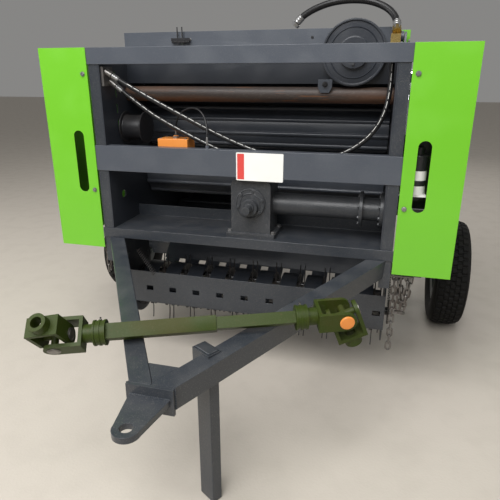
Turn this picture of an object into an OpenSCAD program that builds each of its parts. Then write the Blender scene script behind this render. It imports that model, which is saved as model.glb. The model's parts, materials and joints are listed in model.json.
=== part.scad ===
// Pull-type round baler with a roller chamber, parked on its wheels and stand leg.
// The drawbar points to -Y, the tailgate is at +Y, and left and right are as seen from the drawbar.
// The floor is z = 0, and the origin is under the middle of the machine's length and width.

/* [Chamber] */
// Clear width between the chamber's side plates
chamber_w = 1230; // [1200:5:1250]
// Radius of the circle on which the rollers' axes lie
roller_ring_r = 490; // [485:1:495]
// Outer diameter of a roller over its ribs
roller_d = 230; // [200:2:232]
// Number of ribs on a roller
roller_ribs = 10; // [6:1:14]
// Diameter of a roller's shaft
roller_shaft_d = 40; // [30:1:45]
// Height of the chamber's axis above the floor
chamber_z = 1050; // [1040:5:1070]
// Distance of the chamber's axis behind the front plane
chamber_setback = 950; // [940:5:970]
// Radius of the side plates' round edge
plate_r = 600; // [596:1:604]
// Thickness of the side plates
plate_t = 6; // [5:1:8]
// Width of the square cross tubes round the chamber
ring_tube_w = 50; // [40:1:54]
// Height of the tailgate's hinge above the chamber's axis
hinge_rise = 560; // [555:1:565]

/* [Front frame] */
// Width of the front posts and of the rails under them
post_w = 45; // [40:1:50]
// Top of the front frame above the floor
frame_top_z = 1526; // [1515:1:1535]
// Height of the top beam's face
top_beam_h = 67; // [50:1:75]
// Top edge of the mid beam above the floor
mid_beam_z = 1117; // [1105:1:1130]
// Height of the mid beam's face
mid_beam_h = 113; // [90:1:120]
// Top of the gearbox shelf above the floor
shelf_z = 730; // [725:1:735]
// Depth of the gearbox shelf
shelf_d = 270; // [240:5:275]
// Height of the shelf's front flange
shelf_flange_h = 46; // [40:1:46]
// Sheet thickness of beams and shelf
beam_t = 5; // [4:1:6]
// Depth of the beams' flanges
beam_flange_d = 45; // [35:1:50]

/* [Drawbar and stand] */
// Reach of the drawbar's beams ahead of the front plane
drawbar_len = 900; // [860:10:940]
// Width of the drawbar's beams
drawbar_w = 66; // [60:1:70]
// Height of the drawbar's beams
drawbar_h = 80; // [70:1:84]
// Drop of the drawbar's nose below its root
drawbar_drop = 117; // [100:1:125]
// Width of the drawbar's nose
nose_w = 150; // [140:1:160]
// Distance of the hitch eye ahead of the nose
hitch_len = 150; // [140:1:170]
// Thickness of the hitch plate
hitch_t = 20; // [16:1:25]
// Bore of the hitch eye
hitch_bore = 38; // [30:1:40]
// Width of the stand leg across the drawbar
stand_w = 72; // [66:1:74]
// Depth of the stand leg along the drawbar
stand_d = 40; // [36:1:42]

/* [Wheels] */
// Outer diameter of the tyres
tyre_d = 616; // [600:2:620]
// Width of the tyres
tyre_w = 180; // [160:2:186]
// Diameter of the wheel rims
rim_d = 330; // [310:2:340]
// Distance of the axle behind the front plane
axle_setback = 945; // [935:5:955]
// Width of the square axle beam
axle_w = 80; // [70:1:84]

/* [Guards] */
// Width of the side guards' front flanges
guard_front_w = 230; // [210:5:240]
// Bottom edge of the side guards above the floor
guard_z = 630; // [626:1:650]
// Sheet thickness of the guards
guard_t = 3; // [2:0.5:4]
// Depth of the side guards behind the front plane
guard_d = 880; // [860:5:890]

/* [Pickup] */
// Radius of the circle swept by the tine tips
tine_r = 205; // [195:1:208]
// Radius of the stripper bands
band_r = 143; // [135:1:150]
// Number of stripper bands
band_count = 10; // [9:1:11]
// Diameter of the spring tines
tine_d = 6; // [5:0.5:7]
// Number of tine bars on the reel
bar_count = 4; // [3:1:5]

/* [Hidden] */

$fn = 48;
RIGHT = 1;
LEFT = -1;
// Cuts and bores run this far past a face
over = 1;
// Gap between a shaft or pin and its bore, on the radius
pin_gap = 0.5;
// Upper limit of outlines that are cut off above the machine
sky = 2000;

// The front plane's place along Y, so that the machine's middle is at the origin
hitch_end_r = 40;
front_reach = drawbar_len + hitch_len + hitch_end_r;
rear_reach = chamber_setback + plate_r - 10 + ring_tube_w / 2;
front_y = (front_reach - rear_reach) / 2;
chamber_y = front_y + chamber_setback;

// Half widths from the chamber outwards
half_w = chamber_w / 2;
plate_x = half_w + plate_t;
beam_half = plate_x + post_w + 4;
guard_x = beam_half + guard_front_w;
wheel_x = guard_x + 30 + tyre_w / 2;
axle_y = front_y + axle_setback;
axle_z = tyre_d / 2;
axle_top = axle_z + axle_w / 2;
stub_r = 25;

// Rollers: [angle round the chamber from the front upwards, on the tailgate, planes of its sprockets]
ROLLERS = [
    [-75, false, [0, 2]], [-15, false, [0, 1, 2]], [15, false, [0, 1]], [45, false, [0, 1]], [75, false, [1]],
    [105, true, []], [135, true, []], [165, true, []], [195, true, []], [225, true, []], [255, true, []]
];
roller_r = roller_d / 2;
rib_d = 20;
roller_wall = 7;
roller_end_t = 10;
bearing_r = 55;
bearing_t = 20;
sprocket_x = plate_x + bearing_t + 12;
sprocket_t = 8;
sprocket_tip_r = 55;
sprocket_teeth = 15;
chain_gap = 0.3;
chain_t = 10;
sprocket_step = 14;
// Place of the cross shaft that drives the chains
drive_y = front_y + 126;
drive_r = 17.5;
// Chains: [place of one sprocket, place of the other, plane], with -1 for the cross shaft and -2 for the pickup
CHAINS = [[-1, 1, 2], [1, 0, 0], [1, 2, 1], [2, 3, 0], [3, 4, 1], [0, -2, 2]];

// Tailgate's hinge
hinge_y = chamber_y;
hinge_z = chamber_z + hinge_rise;
hinge_pin_r = 15;
hinge_boss_r = 38;
hinge_notch_r = 52;
part_gap = 3;
hinge_ear_x = 28;

// Tailgate cylinders: base pin on the rail, rod eye beside the tailgate's boss
ram_x = plate_x + 84;
ram_boss_r = 30;
ram_base_y = front_y + guard_d - 25;
ram_base_z = 740;
ram_lug_r = 215;
ram_lug_angle = -60.5;
ram_eye_y = hinge_y + ram_lug_r * cos(ram_lug_angle);
ram_eye_z = hinge_z + ram_lug_r * sin(ram_lug_angle);
ram_dy = ram_eye_y - ram_base_y;
ram_dz = ram_eye_z - ram_base_z;
ram_len = sqrt(ram_dy * ram_dy + ram_dz * ram_dz);
ram_angle = atan2(ram_dz, ram_dy);
ram_eye_w = 28;
ram_pin_r = 12;
barrel_r = 30;
barrel_len = 560;
rod_r = 13;

// Rails and posts, and the arms that carry the side guards
arm_z = [665, 1380];
rail_z = 620;
rail_end_y = front_y + 660;
post_y = front_y + beam_t;

// Drawbar
drawbar_top = shelf_z - shelf_flange_h;
drawbar_root_x = beam_half - 70;
drawbar_nose_x = nose_w / 2 - 39;
drawbar_yaw = atan2(drawbar_root_x - drawbar_nose_x, drawbar_len);
drawbar_slope = atan2(drawbar_drop, drawbar_len);
nose_y = front_y - drawbar_len;
nose_z = drawbar_top - drawbar_drop - drawbar_h / 2;

// Stand leg beside the right beam's inner face
stand_y = front_y - 710;
stand_off = 43;
stand_gap = 1;
stand_wall = 5;

// Pickup
reel_y = front_y + 330;
reel_z = 300;
pickup_x = half_w + 40;
reel_half = pickup_x - 10;
band_w = 84;
band_t = 3;
band_pitch = (2 * reel_half - 40) / band_count;

// A profile drawn in (Y, Z), made solid from x0 to x1
module side_profile(x0, x1) {
    translate([x0, 0, 0]) rotate([90, 0, 90]) linear_extrude(x1 - x0) children();
}
// A box from one corner to the other
module block(a, b) {
    translate(a) cube([b[0] - a[0], b[1] - a[1], b[2] - a[2]]);
}
// The children as they are on the right, or mirrored to the left
module sided(side) {
    if (side > 0) children();
    else mirror([1, 0, 0]) children();
}
function roller_y(i) = chamber_y - roller_ring_r * cos(ROLLERS[i][0]);
function roller_z(i) = chamber_z + roller_ring_r * sin(ROLLERS[i][0]);

paint = [0.22, 0.26, 0.31];
lime = [0.50, 0.86, 0.20];
olive = [0.33, 0.38, 0.12];
steel = [0.55, 0.56, 0.58];
black = [0.08, 0.08, 0.09];

// Side plates of the fixed half of the chamber
module side_plate_outline() {
    difference() {
        union() {
            intersection() {
                translate([chamber_y, chamber_z]) circle(plate_r, $fn = 120);
                translate([chamber_y - 2 * plate_r, 0]) square([2 * plate_r - part_gap, sky]);
            }
            polygon([
                [post_y, rail_z], [post_y, frame_top_z], [front_y + 480, frame_top_z],
                [chamber_y - part_gap - 60, chamber_z], [front_y + 640, rail_z]
            ]);
            polygon([
                [front_y + 560, rail_z + 60], [front_y + 560, rail_z], [axle_y - 80, axle_top],
                [axle_y + 80, axle_top], [axle_y + 80, axle_top + 52], [chamber_y - part_gap, chamber_z - plate_r + 4],
                [chamber_y - part_gap, chamber_z - 200]
            ]);
        }
        for (i = [0:4]) translate([roller_y(i), roller_z(i)]) circle(roller_shaft_d / 2 + pin_gap);
        translate([drive_y, gear_z]) circle(drive_r + pin_gap);
        translate([hinge_y, hinge_z]) circle(hinge_notch_r);
        for (k = [0:3]) translate([front_y + 130, 1180 + 70 * k]) square([10, 40]);
    }
}
module side_plate(side) {
    color(paint) sided(side) {
        side_profile(half_w, plate_x) side_plate_outline();
        for (i = [0:4]) {
            side_profile(plate_x, plate_x + bearing_t) translate([roller_y(i), roller_z(i)]) difference() {
                circle(bearing_r);
                circle(roller_shaft_d / 2 + pin_gap);
            }
        }
        side_profile(half_w - 2, plate_x + hinge_ear_x + 12) translate([hinge_y, hinge_z]) circle(hinge_pin_r);
        side_profile(plate_x + hinge_ear_x, plate_x + hinge_ear_x + 12) translate([hinge_y, hinge_z]) polygon([
            [-62, -130], [-12, -130], [22, -22], [22, 15], [0, 24], [-22, 15]
        ]);
        side_profile(plate_x, plate_x + hinge_ear_x) translate([hinge_y, hinge_z]) polygon([
            [-62, -130], [-12, -130], [-12, -112], [-62, -112]
        ]);
    }
}

// A channel across the front, open to the rear
module front_channel(top, h) {
    block([-beam_half, front_y, top - h], [beam_half, front_y + beam_t, top]);
    for (z = [top - beam_t, top - h]) {
        block([-half_w, front_y, z], [half_w, front_y + beam_flange_d, z + beam_t]);
    }
}
module top_beam() {
    color(paint) front_channel(frame_top_z, top_beam_h);
}
module mid_beam() {
    color(paint) {
        front_channel(mid_beam_z, mid_beam_h);
        translate([final(CABLE_LOOP)[0], front_y + final(CABLE_LOOP)[1], mid_beam_z - 1]) cylinder(r = 8, h = 13);
    }
}

// Shelf that carries the gearbox, with an angle bar along its rear edge
module shelf() {
    color(paint) {
        block([-half_w, front_y, shelf_z - beam_t], [half_w, front_y + shelf_d, shelf_z]);
        block([-beam_half, front_y, shelf_z - shelf_flange_h], [beam_half, front_y + beam_t, shelf_z]);
        block([-half_w, front_y + shelf_d - beam_t, shelf_z - beam_t], [half_w, front_y + shelf_d, shelf_z + 55]);
    }
}

// Square tubes across the fixed half of the chamber
module ring_tube(angle) {
    r = plate_r - 10;
    translate([-half_w, chamber_y - r * cos(angle), chamber_z + r * sin(angle)]) rotate([-angle, 0, 0])
        translate([0, -ring_tube_w / 2, -ring_tube_w / 2]) cube([chamber_w, ring_tube_w, ring_tube_w]);
}
module cross_tubes() {
    color(paint) {
        ring_tube(60);
        ring_tube(30);
        side_profile(-half_w, half_w) polygon([
            [reel_y + 215, reel_z + 88], [front_y + 690, 518], [front_y + 690, 523], [reel_y + 215, reel_z + 93]
        ]);
    }
}

// Rail, front post, axle upright, guard post and cylinder bracket of one side
module chassis(side) {
    guard_post_y = front_y + guard_d - 45;
    color(paint) sided(side) {
        block([plate_x, post_y, rail_z - 60], [plate_x + post_w, rail_end_y, rail_z]);
        block([plate_x, post_y, rail_z], [plate_x + post_w, post_y + post_w, frame_top_z]);
        block([plate_x, axle_y - 46, axle_top], [plate_x + post_w, axle_y - 2, rail_z + 120]);
        for (z = arm_z) {
            block([plate_x, guard_post_y, z], [guard_x - 50, guard_post_y + 40, z + 40]);
            block([guard_x - 50, guard_post_y + 30, z + 10], [guard_hinge_x + 5, guard_hinge_y + 6, z + 20]);
            translate([guard_hinge_x, guard_hinge_y, z + 10]) cylinder(r = guard_pin_r, h = 60);
        }
        block([guard_x - 50, guard_post_y, arm_z[0]], [guard_x - 20, guard_post_y + 40, arm_z[1] + 40]);
        lug_x = ram_x - ram_eye_w / 2 - 0.3;
        block([lug_x - 12, ram_base_y - 20, arm_z[0] + 30], [lug_x, ram_base_y + 20, ram_base_z + 20]);
        side_profile(lug_x - 6, ram_x + ram_eye_w / 2 + 8) translate([ram_base_y, ram_base_z]) circle(ram_pin_r);
    }
}

// Axle beam with its stubs
module axle() {
    color(paint) {
        block([-guard_x + 20, axle_y - axle_w / 2, axle_z - axle_w / 2], [guard_x - 20, axle_y + axle_w / 2, axle_top]);
        side_profile(-wheel_x - 30, wheel_x + 30) translate([axle_y, axle_z]) circle(stub_r);
    }
}

// One beam of the A-frame drawbar, the right one with the stand leg's sleeve
module drawbar_beam() {
    intersection() {
        block([0, nose_y, 0], [beam_half, post_y, drawbar_top]);
        translate([drawbar_root_x, front_y, drawbar_top]) rotate([drawbar_slope, 0, 0]) rotate([0, 0, -drawbar_yaw])
            translate([-drawbar_w / 2, -2 * drawbar_len, -drawbar_h]) cube([drawbar_w, 3 * drawbar_len, drawbar_h]);
    }
}
module drawbar(side) {
    color(paint) sided(side) {
        if (side == LEFT) drawbar_beam();
        else difference() {
            union() {
                drawbar_beam();
                stand_sleeve();
            }
            translate([stand_x, stand_y, 0]) rotate([0, 0, -drawbar_yaw]) stand_socket();
        }
    }
}

// Nose plate, the gusset between the beams, and the hitch plate with its eye
gusset_y = front_y - drawbar_len + 92;
gusset_t = 8;
module gusset() {
    difference() {
        intersection() {
            block([-nose_w / 2, nose_y, 0], [nose_w / 2, gusset_y, drawbar_top]);
            translate([0, front_y, drawbar_top]) rotate([drawbar_slope, 0, 0])
                translate([-nose_w / 2, -2 * drawbar_len, -gusset_t]) cube([nose_w, 3 * drawbar_len, gusset_t]);
        }
        for (side = [LEFT, RIGHT]) sided(side) drawbar_beam();
    }
}
module hitch_plate() {
    color(paint) {
        gusset();
        block([-nose_w / 2, nose_y - 12, nose_z - 45], [nose_w / 2, nose_y, nose_z + 42]);
        translate([0, 0, nose_z - hitch_t / 2]) linear_extrude(hitch_t) difference() {
            union() {
                translate([0, nose_y - hitch_len]) circle(hitch_end_r);
                polygon([
                    [-nose_w / 2 + 10, nose_y - 12], [nose_w / 2 - 10, nose_y - 12],
                    [hitch_end_r, nose_y - hitch_len], [-hitch_end_r, nose_y - hitch_len]
                ]);
            }
            translate([0, nose_y - hitch_len]) circle(hitch_bore / 2);
        }
    }
}

// Stand leg and its sleeve beside the right beam
stand_top = 600;
stand_slope_z = drawbar_top - (front_y - stand_y) * tan(drawbar_slope);
stand_x = drawbar_root_x - (front_y - stand_y) * tan(drawbar_yaw) - stand_off / cos(drawbar_yaw);
module stand_sleeve() {
    translate([stand_x, stand_y, 0]) rotate([0, 0, -drawbar_yaw]) difference() {
        block([-stand_w / 2 - stand_wall - stand_gap, -stand_d / 2 - stand_wall - stand_gap, stand_slope_z - 80],
            [stand_w / 2 + stand_wall + stand_gap, stand_d / 2 + stand_wall + stand_gap, stand_slope_z + 4]);
        stand_socket();
    }
}
module stand_socket() {
    block([-stand_w / 2 - stand_gap, -stand_d / 2 - stand_gap, 0], [stand_w / 2 + stand_gap, stand_d / 2 + stand_gap, 1000]);
}
module stand_leg() {
    color(paint) translate([stand_x, stand_y, 0]) rotate([0, 0, -drawbar_yaw]) {
        block([-stand_w / 2, -stand_d / 2, 0], [stand_w / 2, stand_d / 2, stand_top]);
    }
}

// Wheels
module wheel(side) {
    hub_r = 45;
    color(steel) sided(side) translate([wheel_x, axle_y, axle_z]) rotate([0, 90, 0])
        rotate_extrude($fn = 96) polygon([
        [stub_r + pin_gap, -50], [hub_r, -50], [hub_r, -10], [rim_d / 2 - 30, 8],
        [rim_d / 2 - 30, -62], [rim_d / 2 + 12, -70],
        [rim_d / 2 + 12, -64], [rim_d / 2, -60], [rim_d / 2, 60], [rim_d / 2 + 12, 64], [rim_d / 2 + 12, 70],
        [rim_d / 2 - 12, 62], [rim_d / 2 - 20, 20], [hub_r, 0], [hub_r, 40], [hub_r - 10, 50], [stub_r + pin_gap, 50]
    ]);
}
module tyre(side) {
    r = tyre_d / 2;
    w = tyre_w / 2;
    color(black) sided(side) translate([wheel_x, axle_y, axle_z]) rotate([0, 90, 0])
        rotate_extrude($fn = 96) polygon([
        [rim_d / 2, -59], [rim_d / 2 + 13, -63], [rim_d / 2 + 13, -72], [rim_d / 2 + 22, -w + 12],
        [r - 70, -w], [r - 25, -w + 6], [r - 8, -w + 24],
        [r, -40], [r, -34], [r - 9, -32], [r - 9, -26], [r, -24], [r, 24], [r - 9, 26], [r - 9, 32],
        [r, 34], [r, 40], [r - 8, w - 24], [r - 25, w - 6], [r - 70, w], [rim_d / 2 + 22, w - 12], [rim_d / 2 + 13, 72],
        [rim_d / 2 + 13, 63], [rim_d / 2, 59]
    ]);
}

// Side guards: bent sheets on a hinge at their rear edge
guard_pin_r = 6;
guard_knuckle_r = 10;
guard_hinge_x = guard_x - 10;
guard_hinge_y = front_y + guard_d + 10;
slot_x = beam_half + 75;
slot_r = 25;
slot_z = [925, 1155];
module guard(side) {
    top = frame_top_z;
    color(lime) sided(side) difference() {
        union() {
            block([beam_half, front_y - guard_t, guard_z], [guard_x, front_y, top]);
            block([guard_x - guard_t, front_y - guard_t, guard_z], [guard_x, front_y + guard_d, top]);
            for (z = [guard_z, top - guard_t]) {
                block([guard_x - 25, front_y, z], [guard_x, front_y + guard_d - 60, z + guard_t]);
            }
            for (z = arm_z) {
                block([guard_x - guard_t, front_y + guard_d - 1, z + 21], [guard_x, guard_hinge_y, z + 65]);
                translate([guard_hinge_x, guard_hinge_y, z + 21]) cylinder(r = guard_knuckle_r, h = 44);
            }
        }
        block([slot_x - slot_r, front_y - 10, slot_z[0]], [slot_x + slot_r, front_y + 10, slot_z[1]]);
        for (z = slot_z) {
            translate([slot_x, front_y - 10, z]) rotate([-90, 0, 0]) cylinder(r = slot_r, h = 20);
        }
        for (z = arm_z) {
            translate([guard_hinge_x, guard_hinge_y, z + 20]) cylinder(r = guard_pin_r + pin_gap, h = 50);
        }
    }
}

// Net box behind the top beam, with its lid
box_y = front_y + 250;
box_d = 220;
box_z = 1380;
box_top = 1600;
box_t = 3;
box_strip = 52;
net_tube_r = 34;
lid_pin_y = box_y + box_d + 14;
lid_pin_z = box_top - 8;
lid_pin_r = 6;
module net_box() {
    color(paint) {
        difference() {
            block([-half_w, box_y, box_z], [half_w, box_y + box_d, box_top]);
            block([-half_w + box_t, box_y + box_t, box_z + box_t],
                [half_w - box_t, box_y + box_d - box_t, box_top - box_t]);
            block([-half_w + box_t, box_y + box_strip, box_z + box_t],
                [half_w - box_t, box_y + box_d - box_t, box_top + over]);
        }
        translate([disc_x, box_y, disc_z]) rotate([90, 0, 0]) cylinder(r = disc_pin_r, h = 56);
        for (side = [LEFT, RIGHT]) sided(side) difference() {
            block([half_w - 60, box_y + box_d, lid_pin_z - 20], [half_w - 52, lid_pin_y + 12, lid_pin_z + 8]);
            side_profile(half_w - 70, half_w - 40) translate([lid_pin_y, lid_pin_z]) circle(lid_pin_r + pin_gap);
        }
    }
}
module net_lid() {
    color(paint) {
        block([-half_w + 70, box_y + box_strip + 1, box_top + 0.5], [half_w - 70, lid_pin_y + 4, box_top + 3.5]);
        block([-half_w + 70, lid_pin_y - 4, lid_pin_z], [half_w - 70, lid_pin_y + 4, box_top + 3.5]);
        side_profile(-half_w + 48, half_w - 48) translate([lid_pin_y, lid_pin_z]) circle(lid_pin_r);
    }
}
module net_tube() {
    color([0.42, 0.30, 0.22]) side_profile(-half_w, half_w) translate([box_y, box_z - 47]) difference() {
        circle(net_tube_r);
        circle(net_tube_r - 4);
    }
}

// Gearbox with the round cover on its face, and its drive tube
gear_x = 50;
gear_w = 220;
gear_body_w = 178;
gear_top = 985;
gear_corner = 22;
gear_z = 870;
gear_d = 200;
gear_cover_r = 66;
gear_boss_r = 36;
input_r = 17.5;
input_len = 50;
journal_r = 22;
journal_len = 79.7;
module gearbox() {
    color(paint) {
        difference() {
            union() {
                block([gear_x - gear_w / 2, front_y + 20, shelf_z], [gear_x + gear_w / 2, front_y + gear_d, shelf_z + 18]);
                translate([gear_x, front_y + gear_d - 12, 0]) rotate([90, 0, 0]) linear_extrude(gear_d - 46) hull() {
                    translate([-gear_body_w / 2, shelf_z + 10]) square([gear_body_w, gear_z - shelf_z]);
                    for (side = [LEFT, RIGHT]) translate([side * (gear_body_w / 2 - gear_corner), gear_top - gear_corner])
                        circle(gear_corner);
                }
                translate([gear_x, front_y + 26, gear_z + 16]) rotate([-90, 0, 0]) cylinder(r = gear_cover_r, h = 9);
                translate([gear_x, front_y + 4, gear_z]) rotate([-90, 0, 0]) cylinder(r = gear_boss_r, h = 31);
            }
            translate([gear_x, front_y - 10, gear_z]) rotate([-90, 0, 0])
                cylinder(r = journal_r + pin_gap, h = journal_len + 10.3);
        }
        side_profile(gear_x + 80, half_w) translate([drive_y, gear_z]) circle(49);
        side_profile(half_w - 100, half_w - 86) translate([drive_y, gear_z]) circle(75);
        side_profile(half_w - 14, half_w) translate([drive_y, gear_z]) circle(75);
    }
}
// The input shaft: the stub for the drive shaft ahead of the front plane, and the journal in the gearbox
module input_shaft() {
    color(steel) translate([gear_x, front_y, gear_z]) {
        translate([0, -input_len, 0]) rotate([-90, 0, 0]) cylinder(r = input_r, h = input_len + 1);
        rotate([-90, 0, 0]) cylinder(r = journal_r, h = journal_len);
    }
}

// A loop of chain round two sprockets, drawn in (Y, Z)
module chain_loop(a, b) {
    d = b - a;
    len = norm(d);
    translate(a) rotate(atan2(d[1], d[0])) difference() {
        union() {
            for (x = [0, len]) translate([x, 0]) circle(sprocket_tip_r + chain_gap + chain_t);
            translate([0, -sprocket_tip_r - chain_gap - chain_t]) square([len, 2 * (sprocket_tip_r + chain_gap + chain_t)]);
        }
        for (x = [0, len]) translate([x, 0]) circle(sprocket_tip_r + chain_gap);
        translate([0, -sprocket_tip_r - chain_gap]) square([len, 2 * (sprocket_tip_r + chain_gap)]);
    }
}
function chain_place(i) = i == -1 ? [drive_y, gear_z] : i == -2 ? [reel_y, reel_z] : [roller_y(i), roller_z(i)];
module drive_chains() {
    color(steel) for (c = CHAINS) {
        x = sprocket_x + c[2] * sprocket_step;
        side_profile(x, x + sprocket_t) chain_loop(chain_place(c[0]), chain_place(c[1]));
    }
}
module drive_shaft() {
    color(steel) translate([0, drive_y, gear_z]) {
        side_profile(half_w + 0.3, sprocket_x + 2 * sprocket_step + sprocket_t + 4) circle(drive_r);
        sprocket(2);
    }
}

// Twine disc on the net box
disc_x = 441;
disc_z = box_top - 98;
disc_r = 132;
disc_hub_r = 62;
disc_pin_r = 12;
module twine_disc() {
    color(paint) translate([disc_x, box_y - 6, disc_z]) rotate([90, 0, 0]) difference() {
        union() {
            cylinder(r = disc_r, h = 26, $fn = 96);
            cylinder(r = disc_hub_r, h = 36, $fn = 96);
        }
        translate([0, 0, -over]) cylinder(r = disc_pin_r + pin_gap, h = 60);
        translate([0, 0, 20]) difference() {
            cylinder(r = disc_r - 10, h = 20, $fn = 96);
            translate([0, 0, -over]) cylinder(r = disc_hub_r, h = 40, $fn = 96);
        }
    }
}
module control_box() {
    color([0.85, 0.50, 0.12]) {
        block([-388, front_y + 60, 1030], [-246, front_y + 150, 1148]);
        block([-330, front_y + beam_t, mid_beam_z - 80], [-300, front_y + 60, mid_beam_z - 50]);
        translate([-317, front_y + 105, 1148]) cylinder(r = 12, h = 12);
    }
}
module lube_bottle() {
    color([0.9, 0.9, 0.88]) {
        translate([slot_x - 14, front_y + 62, 964]) cylinder(r = 36, h = 150);
        translate([slot_x - 14, front_y + 62, 1114]) cylinder(r = 18, h = 30);
        block([plate_x + post_w, front_y + 30, 956], [slot_x + 26, front_y + 100, 964]);
    }
}
module cable_drum() {
    color(black) {
        side_profile(-half_w, -half_w + 110) translate([front_y + 200, 1180]) circle(58);
        side_profile(-half_w, -half_w + 8) translate([front_y + 200, 1180]) circle(75);
        side_profile(-half_w + 102, -half_w + 110) translate([front_y + 200, 1180]) circle(75);
    }
}

// Fittings at the ends of the hoses
module stub(p, q, r, len) {
    d = unit(q - p);
    translate(p + [0, front_y, 0]) rotate([0, acos(d[2]), atan2(d[1], d[0])]) translate([0, 0, -len - 0.1]) cylinder(r = r, h = len);
}
function final(p) = p[len(p) - 1];
function before(p) = p[len(p) - 2];
module hose_ports() {
    color(steel) {
        block([-half_w, front_y + 15, 1370], [-half_w + 12, front_y + 95, 1450]);
        stub(HOSE_FRONT[0], HOSE_FRONT[1], 14, 34);
        stub(HOSE_REAR[0], HOSE_REAR[1], 14, 34);
        block([0, front_y + beam_t, 1040], [50, front_y + 70, 1090]);
        stub(final(HOSE_REAR), before(HOSE_REAR), 14, 30);
    }
}
module hose_manifold() {
    color([0.75, 0.62, 0.30]) {
        block([half_w - 32, front_y + 60, frame_top_z], [half_w + 4, front_y + 130, frame_top_z + 34]);
        stub(final(HOSE_FRONT), before(HOSE_FRONT), 14, 24);
        stub(final(HOSE_TOP), before(HOSE_TOP), 17, 24);
    }
}

// A ribbed roller with its shaft and sprocket
module sprocket(plane) {
    x = sprocket_x + plane * sprocket_step;
    side_profile(x, x + sprocket_t) sprocket_outline();
}
module roller(i) {
    planes = ROLLERS[i][2];
    end_x = len(planes) > 0 ? sprocket_x + sprocket_step * max(planes) + sprocket_t + 4 : plate_x + bearing_t + 4;
    color(paint) translate([0, roller_y(i), roller_z(i)]) rotate([ROLLERS[i][0], 0, 0]) {
        difference() {
            side_profile(-half_w + 5, half_w - 5) {
                circle(roller_r - rib_d / 2, $fn = 96);
                for (k = [0:roller_ribs - 1]) rotate(k * 360 / roller_ribs)
                    translate([roller_r - rib_d / 2, 0]) circle(rib_d / 2);
            }
            side_profile(-half_w + 5 + roller_end_t, half_w - 5 - roller_end_t) circle(roller_r - rib_d / 2 - roller_wall);
        }
        side_profile(-plate_x - bearing_t - 4, end_x) circle(roller_shaft_d / 2);
        for (plane = planes) sprocket(plane);
    }
}
module sprocket_outline() {
    polygon([
        for (k = [0:2 * sprocket_teeth - 1])
            let (r = k % 2 == 0 ? sprocket_tip_r : sprocket_tip_r - 9)
            [r * cos(k * 180 / sprocket_teeth), r * sin(k * 180 / sprocket_teeth)]
    ]);
}

// Tailgate: two half plates, and the square tubes that join them
module gate_outline() {
    difference() {
        union() {
            intersection() {
                translate([chamber_y, chamber_z]) circle(plate_r, $fn = 120);
                translate([chamber_y + part_gap, 0]) square([2 * plate_r, sky]);
            }
            translate([hinge_y, hinge_z]) circle(hinge_boss_r);
        }
        for (i = [5:10]) translate([roller_y(i), roller_z(i)]) circle(roller_shaft_d / 2 + pin_gap);
        translate([hinge_y, hinge_z]) circle(hinge_pin_r + pin_gap);
    }
}
module gate_plates() {
    color(paint) {
        for (side = [LEFT, RIGHT]) sided(side) {
            side_profile(half_w, plate_x) gate_outline();
            for (i = [5:10]) {
                side_profile(plate_x, plate_x + bearing_t) translate([roller_y(i), roller_z(i)]) difference() {
                    circle(bearing_r);
                    circle(roller_shaft_d / 2 + pin_gap);
                }
            }
            side_profile(plate_x, ram_x - ram_eye_w / 2 - 0.3) translate([ram_eye_y, ram_eye_z]) circle(ram_boss_r);
            side_profile(plate_x, plate_x + hinge_ear_x - 2) translate([hinge_y, hinge_z]) difference() {
                circle(28);
                circle(hinge_pin_r + pin_gap);
            }
        }
    }
}
module gate_tubes() {
    color(paint) for (angle = [120, 180, 240]) ring_tube(angle);
}
module gate_cover_outline(wall) {
    intersection() {
        translate([chamber_y, chamber_z]) difference() {
            circle(plate_r - wall, $fn = 120);
            circle(gate_cover_r + wall, $fn = 120);
        }
        translate([chamber_y + 60 + wall, 0]) square([2 * plate_r, sky]);
    }
}
gate_cover_r = 426;
gate_cover_d = 60;
module gate_covers() {
    color(lime) for (side = [LEFT, RIGHT]) sided(side) {
        side_profile(plate_x + gate_cover_d - guard_t, plate_x + gate_cover_d) gate_cover_outline(0);
        side_profile(plate_x, plate_x + gate_cover_d) difference() {
            gate_cover_outline(0);
            gate_cover_outline(guard_t);
        }
    }
}

// Tailgate cylinders
module ram_frame() {
    translate([ram_x, ram_base_y, ram_base_z]) rotate([ram_angle - 90, 0, 0]) children();
}
module barrel(side) {
    color(black) sided(side) ram_frame() difference() {
        union() {
            side_profile(-ram_eye_w / 2, ram_eye_w / 2) union() {
                circle(26);
                translate([-20, 0]) square([40, 36]);
            }
            translate([0, 0, 34]) cylinder(r = barrel_r, h = barrel_len - 34);
        }
        side_profile(-40, 40) circle(ram_pin_r + pin_gap);
        translate([0, 0, 60]) cylinder(r = rod_r + pin_gap, h = barrel_len);
    }
}
module rod(side) {
    color(steel) sided(side) ram_frame() {
        translate([0, 0, barrel_len - 300]) cylinder(r = rod_r, h = ram_len - barrel_len + 300 - 10);
        translate([0, 0, ram_len]) side_profile(-ram_eye_w / 2, ram_eye_w / 2) circle(26);
    }
}

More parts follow.
